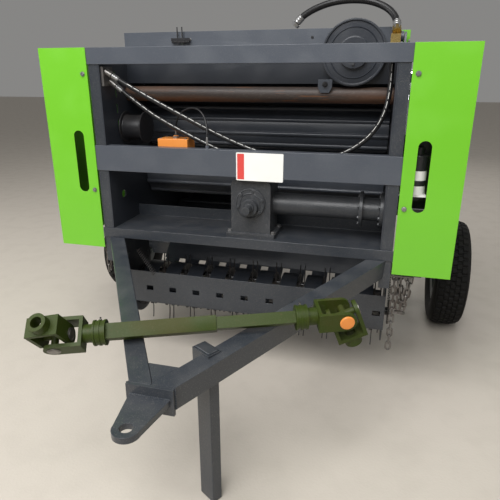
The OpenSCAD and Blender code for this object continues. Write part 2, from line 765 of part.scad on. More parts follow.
// Pickup, with a window in its front plate before each row of tines
function tine_x(k) = -reel_half + 20 + band_pitch * k;
module pickup_frame() {
    color(paint) {
        for (side = [LEFT, RIGHT]) sided(side) side_profile(pickup_x, pickup_x + 6) difference() {
            union() {
                translate([reel_y, reel_z]) circle(150);
                polygon([
                    [front_y + 100, 310], [front_y + 100, 480], [front_y + 250, rail_z - 60], [front_y + 420, rail_z - 60],
                    [reel_y + 120, reel_z], [reel_y, reel_z - 120]
                ]);
            }
            translate([reel_y, reel_z]) circle(20 + pin_gap);
        }
        difference() {
            block([-pickup_x, front_y + 100, 310], [pickup_x, front_y + 105, 480]);
            for (k = [0:band_count]) translate([tine_x(k) - 18, front_y + 90, 378]) cube([36, 30, 25]);
        }
    }
}
module pickup_bands() {
    front = front_y + 105 - reel_y;
    color(paint) for (k = [0:band_count - 1]) {
        x = tine_x(k + 0.5) - band_w / 2;
        translate([0, reel_y, reel_z]) side_profile(x, x + band_w) union() {
            difference() {
                circle(band_r);
                circle(band_r - band_t);
                translate([-2 * band_r, -2 * band_r]) square([4 * band_r, 2 * band_r + 40]);
            }
            polygon([[front, 22], [-band_r + 9, 38], [-band_r + 9, 46], [front, 27]]);
            polygon([[band_r - 8, 38], [215, 88], [215, 93], [band_r - 12, 44]]);
        }
    }
}
module pickup_reel() {
    color(steel) translate([0, reel_y, reel_z]) {
        side_profile(-reel_half, reel_half) circle(30);
        side_profile(-pickup_x - 20, sprocket_x + 2 * sprocket_step + sprocket_t + 4) circle(20);
        sprocket(2);
        for (x = [-reel_half, reel_half - 6]) side_profile(x, x + 6) circle(115);
        for (b = [0:bar_count - 1]) rotate([b * 360 / bar_count, 0, 0]) {
            side_profile(-reel_half, reel_half) translate([95, 0]) circle(14);
            for (k = [0:band_count]) for (dx = [-12, 12]) {
                x = tine_x(k) + dx;
                if (abs(x) < reel_half - 10) translate([x, 95, 0]) rotate([-90, 0, 0]) cylinder(d = tine_d, h = tine_r - 95);
            }
        }
    }
}

// Loose drive shaft, laid across the drawbar's beams: two telescoping tubes with a cross joint at each end
pto_a = [-382, -798];
pto_b = [510, -478];
pto_w = 50;
pto_wall = 5;
pto_collar_r = 40;
pto_collar_t = 40;
yoke_r = 30;
yoke_ear_r = 33;
yoke_in = 39;
yoke_t = 13;
yoke_hub = 44;
yoke_base_t = 12;
yoke_reach = yoke_hub + 80;
cross_pin_r = 12;
module yoke(bored) {
    ear_end = yoke_in + yoke_t;
    difference() {
        union() {
            side_profile(0, yoke_hub) circle(yoke_r);
            side_profile(yoke_hub - yoke_base_t, yoke_hub) square([2 * yoke_ear_r, 2 * ear_end], center = true);
        }
        if (bored) side_profile(-over, yoke_hub + over) circle(input_r + pin_gap);
    }
    for (z = [-ear_end, yoke_in]) translate([0, 0, z]) linear_extrude(yoke_t) union() {
        translate([yoke_hub - yoke_base_t, -yoke_ear_r]) square([yoke_reach - yoke_hub + yoke_base_t, 2 * yoke_ear_r]);
        translate([yoke_reach, 0]) circle(yoke_ear_r);
    }
}
// A cross joint from the shaft's end outwards, its outer yoke turned away by the fold angle
module cross_joint(roll, fold) {
    pin = 2 * (yoke_in + yoke_t) - 3;
    rotate([roll, 0, 0]) {
        yoke(false);
        translate([yoke_reach, 0, 0]) rotate([0, 0, fold]) {
            translate([yoke_reach, 0, 0]) mirror([1, 0, 0]) rotate([90, 0, 0]) yoke(true);
            cylinder(r = cross_pin_r, h = pin, center = true);
            rotate([90, 0, 0]) cylinder(r = cross_pin_r, h = pin, center = true);
        }
    }
}
module pto_shaft() {
    d = pto_b - pto_a;
    len = norm(d);
    split = len * 0.55;
    color(olive) translate([0, front_y, drawbar_top]) rotate([drawbar_slope, 0, 0])
        translate([pto_a[0], pto_a[1], pto_w * sqrt(2) / 2 + 0.3]) rotate([0, 0, atan2(d[1], d[0])]) {
            translate([yoke_reach, 0, 0]) rotate([0, 0, 180]) cross_joint(57, 80);
            translate([len - yoke_reach, 0, 0]) cross_joint(-90, 70);
            for (x = [yoke_reach, len - yoke_reach - pto_collar_t]) side_profile(x, x + pto_collar_t) circle(pto_collar_r);
            rotate([45, 0, 0]) {
                block([yoke_reach + 10, -pto_w / 2, -pto_w / 2], [split, pto_w / 2, pto_w / 2]);
                block([split - 4, -pto_w / 2 + pto_wall, -pto_w / 2 + pto_wall],
                    [len - yoke_reach - 10, pto_w / 2 - pto_wall, pto_w / 2 - pto_wall]);
            }
        }
}

// Safety chains
link_pitch = 34;
module chain_hung(x, y, top, count) {
    block([plate_x + post_w, y - 8, top - 12], [x + 6, y + 8, top]);
    for (k = [0:count - 1]) translate([x, y, top - 6 - link_pitch * k]) rotate([0, 90, 90 * (k % 2)])
        rotate_extrude($fn = 24) translate([15, 0]) circle(4, $fn = 10);
}
module safety_chains() {
    color(steel) {
        chain_hung(plate_x + post_w + 22, front_y + 50, rail_z - 10, 11);
        mirror([1, 0, 0]) chain_hung(plate_x + post_w + 22, front_y + 50, rail_z - 10, 4);
    }
}

// Hoses: each a swept tube along its own points
HOSE_FRONT = [
    [-575, 40, 1414], [-535, 40, 1391], [-490, 41, 1366], [-440, 43, 1339], [-380, 46, 1308], [-310, 50, 1273],
    [-240, 55, 1238], [-170, 60, 1203], [-100, 65, 1170], [-30, 70, 1140], [40, 74, 1114], [110, 76, 1094],
    [180, 77, 1080], [250, 77, 1074], [320, 76, 1078], [385, 74, 1092], [445, 71, 1116], [495, 68, 1148],
    [535, 66, 1186], [565, 66, 1230], [585, 67, 1280], [594, 70, 1330], [597, 74, 1380], [597, 78, 1430],
    [597, 80, 1470], [597, 80, 1502]
];
HOSE_REAR = [
    [-575, 70, 1370], [-545, 70, 1347], [-505, 70, 1317], [-455, 71, 1281], [-400, 73, 1245], [-340, 75, 1212],
    [-280, 77, 1182], [-220, 78, 1154], [-165, 78, 1130], [-110, 74, 1108], [-60, 66, 1090], [-20, 54, 1078]
];
HOSE_TOP = [
    [190, 275, 1625], [212, 272, 1646], [245, 267, 1666], [285, 260, 1682], [330, 252, 1694], [380, 243, 1700],
    [430, 233, 1700], [480, 222, 1694], [525, 208, 1680], [562, 190, 1660], [588, 168, 1634], [600, 144, 1606],
    [602, 122, 1585]
];
CABLE_LOOP = [
    [-317, 105, 1161], [-316, 104, 1195], [-306, 102, 1230], [-286, 99, 1258], [-258, 95, 1274], [-226, 91, 1280],
    [-194, 80, 1272], [-168, 66, 1250], [-152, 50, 1222], [-144, 38, 1192], [-142, 32, 1166], [-142, 30, 1146],
    [-142, 30, 1129]
];
function unit(v) = v / norm(v);
function tangent(p, i) = unit(p[min(i + 1, len(p) - 1)] - p[max(i - 1, 0)]);
module hose(points, d) {
    sides = 8;
    rings = [
        for (i = [0:len(points) - 1])
            let (t = tangent(points, i), u = unit(cross(t, [0, 1, 0])), v = cross(t, u))
            for (k = [0:sides - 1])
                points[i] + [0, front_y, 0] + d / 2 * (cos(k * 360 / sides) * u + sin(k * 360 / sides) * v)
    ];
    last = (len(points) - 1) * sides;
    faces = concat(
        [[for (k = [sides - 1:-1:0]) k]],
        [[for (k = [0:sides - 1]) last + k]],
        [
            for (i = [0:len(points) - 2]) for (k = [0:sides - 1])
                [i * sides + k, i * sides + (k + 1) % sides, (i + 1) * sides + (k + 1) % sides, (i + 1) * sides + k]
        ]
    );
    polyhedron(rings, faces);
}
module hose_front() {
    color(black) hose(HOSE_FRONT, 20);
}
module hose_rear() {
    color(black) hose(HOSE_REAR, 20);
}
module hose_top() {
    color(black) hose(HOSE_TOP, 27);
}
module cable_loop() {
    color(black) hose(CABLE_LOOP, 8);
}

side_plate(LEFT);  // side_plate_left
side_plate(RIGHT);  // side_plate_right
top_beam();
mid_beam();
shelf();
cross_tubes();
chassis(LEFT);  // chassis_left
chassis(RIGHT);  // chassis_right
axle();
drawbar(LEFT);  // drawbar_left
drawbar(RIGHT);  // drawbar_right
hitch_plate();
stand_leg();
wheel(LEFT);  // wheel_left
wheel(RIGHT);  // wheel_right
tyre(LEFT);  // tyre_left
tyre(RIGHT);  // tyre_right
guard(LEFT);  // guard_left
guard(RIGHT);  // guard_right
net_box();
net_lid();
net_tube();
gearbox();
input_shaft();
drive_shaft();
drive_chains();
twine_disc();
control_box();
lube_bottle();
cable_drum();
hose_ports();
hose_manifold();
roller(0);  // roller_1
roller(1);  // roller_2
roller(2);  // roller_3
roller(3);  // roller_4
roller(4);  // roller_5
roller(5);  // roller_6
roller(6);  // roller_7
roller(7);  // roller_8
roller(8);  // roller_9
roller(9);  // roller_10
roller(10);  // roller_11
gate_plates();
gate_tubes();
gate_covers();
barrel(LEFT);  // barrel_left
barrel(RIGHT);  // barrel_right
rod(LEFT);  // rod_left
rod(RIGHT);  // rod_right
pickup_frame();
pickup_bands();
pickup_reel();
pto_shaft();
safety_chains();
hose_front();
hose_rear();
hose_top();
cable_loop();
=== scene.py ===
# %% [markdown]
# # A towed round baler, piece by piece
# The machine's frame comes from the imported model, where every plate, shaft and cover is a solid of its own.
# This notebook dresses it: it loads the frame, sets the camera, and then makes finishes and finer pieces
# one at a time. Lengths are in metres, +Y runs from the drawbar to the tailgate, +X points to the right of
# the picture, and the floor is z = 0. Places are counted from the front plane, the front face of the mid
# beam.

# %% Load the frame
import json
import math

import bmesh
import bpy
import numpy as np
from mathutils import Matrix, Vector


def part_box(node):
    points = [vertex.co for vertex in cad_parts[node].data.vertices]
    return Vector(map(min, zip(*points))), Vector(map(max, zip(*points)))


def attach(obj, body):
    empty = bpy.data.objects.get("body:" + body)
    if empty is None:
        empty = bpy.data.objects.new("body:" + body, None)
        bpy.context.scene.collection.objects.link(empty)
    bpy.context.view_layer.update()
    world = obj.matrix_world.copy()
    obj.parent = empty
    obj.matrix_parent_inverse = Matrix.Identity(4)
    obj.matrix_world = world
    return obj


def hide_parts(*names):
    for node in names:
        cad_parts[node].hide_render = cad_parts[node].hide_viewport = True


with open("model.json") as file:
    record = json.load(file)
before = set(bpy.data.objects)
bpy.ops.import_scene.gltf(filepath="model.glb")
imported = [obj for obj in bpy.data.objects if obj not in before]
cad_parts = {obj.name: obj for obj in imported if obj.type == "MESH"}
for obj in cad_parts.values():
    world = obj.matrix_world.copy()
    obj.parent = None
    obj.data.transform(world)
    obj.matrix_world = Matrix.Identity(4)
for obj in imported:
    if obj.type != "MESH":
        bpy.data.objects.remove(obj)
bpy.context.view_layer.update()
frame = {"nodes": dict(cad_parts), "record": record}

BEHAVIOUR = frame["record"]["behaviour"]
JOINT_AT = {joint["child"]: np.array(joint["pos_m"]) for joint in BEHAVIOUR["joints"] if "pos_m" in joint}
BODY_OF = {node: body for body, nodes in BEHAVIOUR["bodies"].items() for node in nodes}
SLOT_OF = {part["node"]: part["material_slot"] for part in frame["record"]["subparts"]}


def box(node):
    """Lowest and highest corner of a node as two arrays."""
    low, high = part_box(node)
    return np.array(low), np.array(high)


FRONT = box("mid_beam")[0][1]
print("front plane at y =", round(FRONT, 4), "and", len(frame["nodes"]), "nodes")

# %% [markdown]
# ## The camera
# The picture was taken with a wide lens at chest height, a little to the right of the drawbar's eye and
# tilted down. A camera can be placed by eye, but then it sits a few pixels off. So its place and tilt were
# found by matching the hitch, the beams and the guards' corners with their places in the photo.

# %% Camera
LENS_PX = 490
FRAME_PX = 500
SENSOR_WIDTH = 36
VIEW_END = 60
CAMERA_RIGHT = 0.59
CAMERA_AHEAD = 1.99
CAMERA_HEIGHT = 1.41
TILT_DOWN = 19.5
TURN_LEFT = 15
camera_data = bpy.data.cameras.new("camera")
camera_data.sensor_width = SENSOR_WIDTH
camera_data.lens = LENS_PX / FRAME_PX * SENSOR_WIDTH
camera_data.clip_end = VIEW_END
camera = bpy.data.objects.new("camera", camera_data)
camera.location = (CAMERA_RIGHT, FRONT - CAMERA_AHEAD, CAMERA_HEIGHT)
camera.rotation_euler = (math.radians(90 - TILT_DOWN), 0, math.radians(TURN_LEFT))
bpy.context.scene.collection.objects.link(camera)
bpy.context.scene.camera = camera
print("camera at", tuple(round(v, 3) for v in camera.location))

# %% [markdown]
# ## Surfaces from arrays
# Every new piece is a surface worked out on a grid: a first parameter runs along its rows and a second
# along its columns. Each could be modelled by hand, but this machine has hundreds of like tines, links and
# blocks, and arrays make them exact and cheap. The first helpers turn a grid of points into faces, and
# several pieces into one.

# %% Grids
def grid(points, wrap_rows=False, wrap_columns=False, caps=False):
    """Quads between neighbours of a (rows, columns, 3) array; wrapping joins the last row or column to the
    first, and caps close the two end rows with one face each."""
    rows, columns = points.shape[:2]
    index = np.arange(rows * columns).reshape(rows, columns)
    if wrap_rows:
        index = np.vstack([index, index[:1]])
    if wrap_columns:
        index = np.hstack([index, index[:, :1]])
    quads = np.stack([index[:-1, :-1], index[:-1, 1:], index[1:, 1:], index[1:, :-1]], -1)
    faces = quads.reshape(-1, 4).tolist()
    if caps:
        faces += [index[0, :columns].tolist(), index[-1, :columns][::-1].tolist()]
    return points.reshape(-1, 3), faces


def shifted(faces, starts):
    """The same faces once for each start, counted from that start on."""
    return [[corner + start for corner in face] for start in starts for face in faces]


def joined(parts):
    """One vertex array and one face list out of several, each face list shifted past the points before it."""
    starts = np.cumsum([0] + [len(points) for points, _ in parts]).tolist()
    faces = []
    for (_, part_faces), start in zip(parts, starts):
        faces += shifted(part_faces, [start])
    return np.vstack([points for points, _ in parts]), faces


print("a grid of 4 by 5 points has", len(grid(np.zeros((4, 5, 3)))[1]), "faces")

# %% [markdown]
# ## Round bars and turned parts
# Hoses, bars, spring wires and links are circles carried along a path, and cups, caps and rings are turned
# as on a lathe. A curve with a bevel could draw the first and a screw modifier the second, but these few
# lines give both, closed at their ends and with nothing left to bake.

# %% Sweeps
def unit(v):
    """Rows of v divided by their lengths."""
    return v / np.linalg.norm(v, axis=-1, keepdims=True)


def tube(path, radius, sides=8, across=(0, 0, 1), closed=False):
    """A circle carried along a path: at each point the circle spans the two directions at right angles to
    the path's slope, the first of them found with the across direction."""
    path = np.asarray(path, float)
    if closed:
        slope = unit(np.roll(path, -1, 0) - np.roll(path, 1, 0))
    else:
        slope = unit(np.gradient(path, axis=0))
    first = unit(np.cross(slope, np.broadcast_to(np.asarray(across, float), path.shape)))
    second = np.cross(slope, first)
    angle = np.linspace(0, 2 * np.pi, sides, endpoint=False)
    radius = np.broadcast_to(np.asarray(radius, float), len(path))[:, None, None]
    ring = np.cos(angle)[None, :, None] * first[:, None] + np.sin(angle)[None, :, None] * second[:, None]
    return grid(path[:, None] + radius * ring, wrap_rows=closed, wrap_columns=True, caps=not closed)


def reference_for(direction):
    """A direction that isn't along the given one: straight up, or +Y where that one is nearly upright."""
    return (0, 0, 1) if abs(direction[2]) < 0.9 else (0, 1, 0)


def lathe(profile, centre, axis, steps=48, closed=False):
    """A profile of (radius, height) pairs turned about an axis through centre: each ring has the pair's
    radius and lies at its height. An open profile that ends at radius zero closes at its pole."""
    profile = np.asarray(profile, float)
    axis = unit(np.asarray(axis, float))
    side = unit(np.cross(axis, reference_for(axis)))
    other = np.cross(axis, side)
    angle = np.linspace(0, 2 * np.pi, steps, endpoint=False)
    ring = np.cos(angle)[:, None] * side + np.sin(angle)[:, None] * other
    points = np.asarray(centre) + profile[:, :1, None] * ring[None] + profile[:, 1:, None] * axis
    return grid(points, wrap_rows=closed, wrap_columns=True, caps=not closed)


def rod(start, end, radius, sides=24):
    """A round bar from one point to another."""
    line = np.array([start, end], float)
    along = np.abs(line[1] - line[0])
    return tube(line, radius, sides, across=np.roll((1, 0, 0), int(along.argmax()) + 1))


print("a round bar has", len(rod((0, 0, 0), (1, 0, 0), 0.1)[1]), "faces")

# %% [markdown]
# ## Plates and many copies
# Signs, brackets and sprockets are flat outlines with a thickness. A part that is needed many times, such
# as a bolt head or a chain link, is made once about its own origin. Linked objects could repeat it, but one
# array step carries its points to every place and leaves a single mesh, which exports and renders quickly.

# %% Plates and copies
def slab(outline, origin, axes, thickness):
    """An outline of (a, b) pairs, drawn along the first two axes and thickened along the third."""
    axes = np.asarray(axes, float)
    low = np.asarray(origin) + np.asarray(outline, float) @ axes[:2]
    return grid(np.stack([low, low + thickness * axes[2]]), wrap_columns=True, caps=True)


def rounded(width, height, radius, steps=6):
    """Outline of a rectangle about its middle: a quarter circle of the radius at each corner."""
    turn = np.linspace(0, np.pi / 2, steps)
    corner = np.array([width / 2 - radius, height / 2 - radius])
    signs = np.array([[1, 1], [-1, 1], [-1, -1], [1, -1]])
    angles = turn[None] + np.arange(4)[:, None] * np.pi / 2
    arcs = radius * np.stack([np.cos(angles), np.sin(angles)], -1) + (signs * corner)[:, None]
    return arcs.reshape(-1, 2)


def axes_along(direction, across=(0, 0, 1)):
    """Three directions at right angles, the last of them along the given one; takes one or many."""
    third = unit(np.asarray(direction, float))
    first = unit(np.cross(np.broadcast_to(np.asarray(across, float), third.shape), third))
    return np.stack([first, np.cross(third, first), third], -2)


def copies(part, origins, axes):
    """One part at many places: each point goes to a place's origin plus its coordinates along its axes."""
    points, faces = part
    origins = np.asarray(origins, float)
    axes = np.broadcast_to(np.asarray(axes, float), (len(origins), 3, 3))
    placed_points = origins[:, None] + np.einsum("pk,nkc->npc", points, axes)
    starts = (np.arange(len(origins)) * len(points)).tolist()
    return placed_points.reshape(-1, 3), shifted(faces, starts)


print("a rounded outline has", len(rounded(0.2, 0.1, 0.01)), "points")

# %% [markdown]
# ## From points to a piece
# A piece is a mesh with a material and a body that it moves with. Its doubles are merged and its faces
# turned outwards. Its shading is smooth up to a sharp angle.
# Edges could stay sharp, but a sheet's cut edge always catches a line of light, so a bevel modifier rounds
# them where that shows.

# %% Pieces
BEVEL_FROM_DEGREES = 40
MERGE_WITHIN = 1e-6


def dress(piece, material, body, node=None, sharp=35, bevel=0.0):
    """Points the faces outwards, shades smoothly up to the sharp angle, and adds material, bevel and body."""
    mesh = piece.data
    shape = bmesh.new()
    shape.from_mesh(mesh)
    bmesh.ops.remove_doubles(shape, verts=shape.verts, dist=MERGE_WITHIN)
    bmesh.ops.recalc_face_normals(shape, faces=shape.faces)
    shape.to_mesh(mesh)
    shape.free()
    mesh.shade_smooth()
    mesh.set_sharp_from_angle(angle=math.radians(sharp))
    mesh.materials.clear()
    mesh.materials.append(material)
    if bevel > 0:
        edge = piece.modifiers.new("edge", "BEVEL")
        edge.width = bevel
        edge.segments = 2
        edge.limit_method = "ANGLE"
        edge.angle_limit = math.radians(BEVEL_FROM_DEGREES)
        edge.harden_normals = True
    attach(piece, body)
    if node:
        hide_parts(node)


def finished(name, points, faces, material, body, slot, node=None, sharp=35, bevel=0.0):
    """Makes one mesh piece with a material that rides on a body, and may replace a node; the slot is not
    used.
    """
    mesh = bpy.data.meshes.new(name)
    mesh.from_pydata(np.asarray(points).tolist(), [], faces)
    mesh.validate()
    piece = bpy.data.objects.new(name, mesh)
    bpy.context.scene.collection.objects.link(piece)
    dress(piece, material, body, node, sharp, bevel)
    return piece


print("pieces take their finish from", len(set(SLOT_OF.values())), "slots")

# %% [markdown]
# ## Helpers for shader nodes
# A material is a small graph of nodes. One graph can be wired by hand, but the effects below use the same
# few nodes over and over, so each helper adds one node, links what comes in, and hands back what goes out.

# %% Node helpers
def new_group(name, inputs, outputs):
    """An empty group with its sockets; inputs are (name, type, default) and outputs are (name, type)."""
    tree = bpy.data.node_groups.new(name, "ShaderNodeTree")
    for label, kind, default in inputs:
        socket = tree.interface.new_socket(label, in_out="INPUT", socket_type=kind)
        socket.default_value = default
    for label, kind in outputs:
        tree.interface.new_socket(label, in_out="OUTPUT", socket_type=kind)
    return tree, tree.nodes.new("NodeGroupInput"), tree.nodes.new("NodeGroupOutput")


def feed(tree, value, socket):
    """Links a socket's value into another socket, or sets it there as a plain number or colour."""
    if isinstance(value, bpy.types.NodeSocket):
        tree.links.new(value, socket)
    else:
        socket.default_value = value


def noise(tree, scale, detail, coordinates):
    """A noise texture on given coordinates."""
    texture = tree.nodes.new("ShaderNodeTexNoise")
    texture.inputs["Detail"].default_value = detail
    feed(tree, scale, texture.inputs["Scale"])
    tree.links.new(coordinates, texture.inputs["Vector"])
    return texture.outputs["Fac"]


def ranged(tree, value, low, high, out_low=0.0, out_high=1.0):
    """A value mapped from one range to another, without leaving it."""
    node = tree.nodes.new("ShaderNodeMapRange")
    for label, number in (("From Min", low), ("From Max", high), ("To Min", out_low), ("To Max", out_high)):
        node.inputs[label].default_value = number
    tree.links.new(value, node.inputs["Value"])
    return node.outputs["Result"]


def mixed(tree, factor, a, b):
    """Colour a turning into colour b as the factor goes from 0 to 1; each may be a socket or a value."""
    node = tree.nodes.new("ShaderNodeMix")
    node.data_type = "RGBA"
    for value, label in ((factor, 0), (a, 6), (b, 7)):
        feed(tree, value, node.inputs[label])
    return node.outputs[2]


def combined(tree, operation, a, b):
    """Two values added, multiplied or compared."""
    node = tree.nodes.new("ShaderNodeMath")
    node.operation = operation
    feed(tree, a, node.inputs[0])
    feed(tree, b, node.inputs[1])
    return node.outputs[0]


print("node helpers:", [helper.__name__ for helper in (new_group, feed, noise, ranged, mixed, combined)])

# %% [markdown]
# ## Weathering, built once
# The paint, the rubber and the bare metal of a used machine share the same effects: blotches of a second
# colour, fine specks, and a thin layer of dust on faces that look up. Every material could hold its own
# copy of those nodes, but then a change has to be made in each. So they are one node group with named
# sockets, built once and placed in every material with its own values. Stretched coordinates turn its
# blotches into streaks, which the rusty tube needs.

# %% Weathered group
CLOUD_SCALE = 7.0
FLECK_SCALE = 90.0
SPECK_SCALE = 420.0
PATCH_SCALE = 14.0


def weathered_group():
    """Colour, roughness and height of a weathered surface: blotches and specks change the colour, dust
    settles where the surface looks up, and grain gives the height."""
    tree, given, out = new_group(
        "weathered",
        [("Colour", "NodeSocketColor", (0.1, 0.1, 0.1, 1)), ("Blotch", "NodeSocketColor", (0.2, 0.2, 0.2, 1)),
         ("Dust", "NodeSocketColor", (0.34, 0.31, 0.27, 1)), ("Blotch Amount", "NodeSocketFloat", 0.3),
         ("Speck Amount", "NodeSocketFloat", 0.2), ("Dust Amount", "NodeSocketFloat", 0.3),
         ("Grain Scale", "NodeSocketFloat", 400.0), ("Roughness", "NodeSocketFloat", 0.4),
         ("Stretch", "NodeSocketVector", (1, 1, 1))],
        [("Colour", "NodeSocketColor"), ("Roughness", "NodeSocketFloat"), ("Height", "NodeSocketFloat")])
    place = tree.nodes.new("ShaderNodeMapping")
    tree.links.new(tree.nodes.new("ShaderNodeTexCoord").outputs["Object"], place.inputs["Vector"])
    tree.links.new(given.outputs["Stretch"], place.inputs["Scale"])
    at = place.outputs["Vector"]

    cloud = ranged(tree, noise(tree, CLOUD_SCALE, 7.0, at), 0.46, 0.66)
    fleck = ranged(tree, noise(tree, FLECK_SCALE, 3.0, at), 0.60, 0.74)
    blotch = combined(tree, "MAXIMUM", cloud, fleck)
    blotch = combined(tree, "MULTIPLY", blotch, given.outputs["Blotch Amount"])
    base = mixed(tree, blotch, given.outputs["Colour"], given.outputs["Blotch"])
    speck = ranged(tree, noise(tree, SPECK_SCALE, 1.0, at), 0.62, 0.70)
    speck = combined(tree, "MULTIPLY", speck, given.outputs["Speck Amount"])
    base = mixed(tree, speck, base, given.outputs["Dust"])

    split = tree.nodes.new("ShaderNodeSeparateXYZ")
    tree.links.new(tree.nodes.new("ShaderNodeNewGeometry").outputs["Normal"], split.inputs[0])
    upward = ranged(tree, split.outputs["Z"], 0.35, 1.0)
    patchy = ranged(tree, noise(tree, PATCH_SCALE, 8.0, at), 0.35, 0.75)
    dust = combined(tree, "MULTIPLY", upward, patchy)
    dust = combined(tree, "MULTIPLY", dust, given.outputs["Dust Amount"])
    tree.links.new(mixed(tree, dust, base, given.outputs["Dust"]), out.inputs["Colour"])

    rough = combined(tree, "ADD", given.outputs["Roughness"], ranged(tree, cloud, 0.0, 1.0, -0.04, 0.08))
    rough = combined(tree, "ADD", rough, combined(tree, "MULTIPLY", dust, 0.5))
    tree.links.new(rough, out.inputs["Roughness"])
    tree.links.new(noise(tree, given.outputs["Grain Scale"], 2.0, at), out.inputs["Height"])
    return tree


WEATHERED = weathered_group()
print("the weathered group has", len(WEATHERED.nodes), "nodes")

# %% [markdown]
# ## A finish from the group
# The shader itself stays in each material, and the group only feeds its colour, its roughness and the
# height of a bump. What doesn't change over the surface, such as metal or a clear coat, is set on the
# shader's sockets. The net box's front stands in the top beam's shade, and one helper paints that shade
# into a finish: it darkens the colour below a height.

# %% A finish
BUMP_STRENGTH = 0.6
BLOTCH_LIFT = 1.5


def finish(name, colour, blotch=None, blotch_amount=0.2, speck=0.1, dust=0.1, grain=400.0, grain_depth=0.0002,
           roughness=0.4, metallic=0.0, coat=0.0, stretch=(1, 1, 1), specular=0.5):
    """A material whose colour, roughness and height come from the weathered group. Without a blotch colour of
    its own, its blotches are a lighter tone of its colour."""
    material = bpy.data.materials.new(name)
    material.use_nodes = True
    tree = material.node_tree
    shader = tree.nodes["Principled BSDF"]
    group = tree.nodes.new("ShaderNodeGroup")
    group.node_tree = WEATHERED
    lighter = tuple(c * BLOTCH_LIFT for c in colour)
    values = {"Colour": (*colour, 1), "Blotch": (*(blotch or lighter), 1), "Blotch Amount": blotch_amount,
              "Speck Amount": speck, "Dust Amount": dust, "Grain Scale": grain, "Roughness": roughness,
              "Stretch": stretch}
    for label, value in values.items():
        group.inputs[label].default_value = value
    bump = tree.nodes.new("ShaderNodeBump")
    bump.inputs["Strength"].default_value = BUMP_STRENGTH
    bump.inputs["Distance"].default_value = grain_depth
    tree.links.new(group.outputs["Height"], bump.inputs["Height"])
    tree.links.new(bump.outputs["Normal"], shader.inputs["Normal"])
    tree.links.new(group.outputs["Colour"], shader.inputs["Base Color"])
    tree.links.new(group.outputs["Roughness"], shader.inputs["Roughness"])
    shader.inputs["Metallic"].default_value = metallic
    shader.inputs["Coat Weight"].default_value = coat
    shader.inputs["Specular IOR Level"].default_value = specular
    return material


def paint_shade_below(material, height, fade, colour):
    """Paints shade into a material: its colour turns into a darker one below a height, over a short fade."""
    tree = material.node_tree
    base = tree.nodes["Principled BSDF"].inputs["Base Color"]
    split = tree.nodes.new("ShaderNodeSeparateXYZ")
    tree.links.new(tree.nodes.new("ShaderNodeTexCoord").outputs["Object"], split.inputs[0])
    shade_mask = ranged(tree, split.outputs["Z"], height - fade, height, 1.0, 0.0)
    tree.links.new(mixed(tree, shade_mask, base.links[0].from_socket, (*colour, 1)), base)
    return material


print("shader groups:", [group.name for group in bpy.data.node_groups])

# %% [markdown]
# ## Paints
# The frame has a dark blue-grey paint with a fine orange-peel grain. Inside the chamber, on the drawbar and
# on the low pieces it takes darker, duller copies of that paint, which are painted shade; castings are
# rougher, and the guards are bright lime. One paint could serve for all the dark pieces, but the shaded parts
# would then look as bright as the beams, so each copy has its own painted tone.

# %% Paints
PAINT = finish("frame paint", (0.062, 0.071, 0.088), (0.082, 0.092, 0.108), 0.35, 0.12, 0.08, 260.0, 0.0005,
               0.36, coat=0.12)
# The drawbar paint is a darker copy of the frame paint: its tone paints in the shade on the low pieces.
SHADED_LOWER_PAINT = finish("drawbar paint with painted shade", (0.026, 0.031, 0.039), (0.042, 0.047, 0.055), 0.4, 0.25, 0.06, 260.0, 0.0006,
               0.34, coat=0.12)
# The inner paint is a darker copy of the frame paint: its tone paints in the shade inside the chamber.
SHADED_INNER_PAINT = finish("inner paint with painted shade", (0.023, 0.027, 0.035), (0.036, 0.040, 0.048), 0.5, 0.08, 0.03, 260.0, 0.0005,
              0.34)
# The roller paint is a darker copy of the frame paint: its tone paints in the chamber's shade on the rollers.
SHADED_ROLLER_PAINT = finish("roller paint with painted shade", (0.040, 0.046, 0.058), (0.056, 0.062, 0.074), 0.5, 0.08, 0.04, 260.0,
                      0.0005, 0.34)
CAST = finish("cast paint", (0.030, 0.033, 0.038), (0.050, 0.053, 0.058), 0.5, 0.30, 0.04, 160.0, 0.0012,
              0.42)
LIME = finish("lime paint", (0.145, 0.470, 0.019), (0.160, 0.500, 0.022), 0.3, 0.02, 0.04, 300.0, 0.0002,
              0.33, coat=0.2)
RIM = finish("rim paint", (0.12, 0.13, 0.14), None, 0.3, 0.1, 0.2, 300.0, 0.0003, 0.4)
OLIVE = finish("olive paint", (0.028, 0.045, 0.003), (0.060, 0.050, 0.012), 0.50, 0.10, 0.04, 300.0, 0.0005,
               0.52, specular=0.22)
BLACK = finish("black paint", (0.012, 0.012, 0.014), None, 0.3, 0.1, 0.1, 300.0, 0.0002, 0.3, coat=0.2)
NET_PAINT_SHADED = finish("net box paint with painted shade", (0.062, 0.071, 0.088), (0.082, 0.092, 0.108), 0.35, 0.12, 0.08, 260.0,
                   0.0005, 0.40)
# Painted shade: below the top beam the net box's colour turns darker, where the beam's shadow falls.
paint_shade_below(NET_PAINT_SHADED, box("top_beam")[1][2] - 0.02, 0.03, (0.017, 0.020, 0.026))
print("materials in the file with the paints:", len(bpy.data.materials))

# %% [markdown]
# ## Metal, rubber and plastic
# The bare tube is streaked with rust. A picture of rust could be laid on it, but its pattern would repeat,
# so the group's own blotches are stretched along the tube until they are nearly lines. Hoses are black
# rubber with a sheen, the tyres are duller, and the control box is amber plastic. Each slot of the model's
# list gets one of these finishes, and pieces that need another name it themselves.

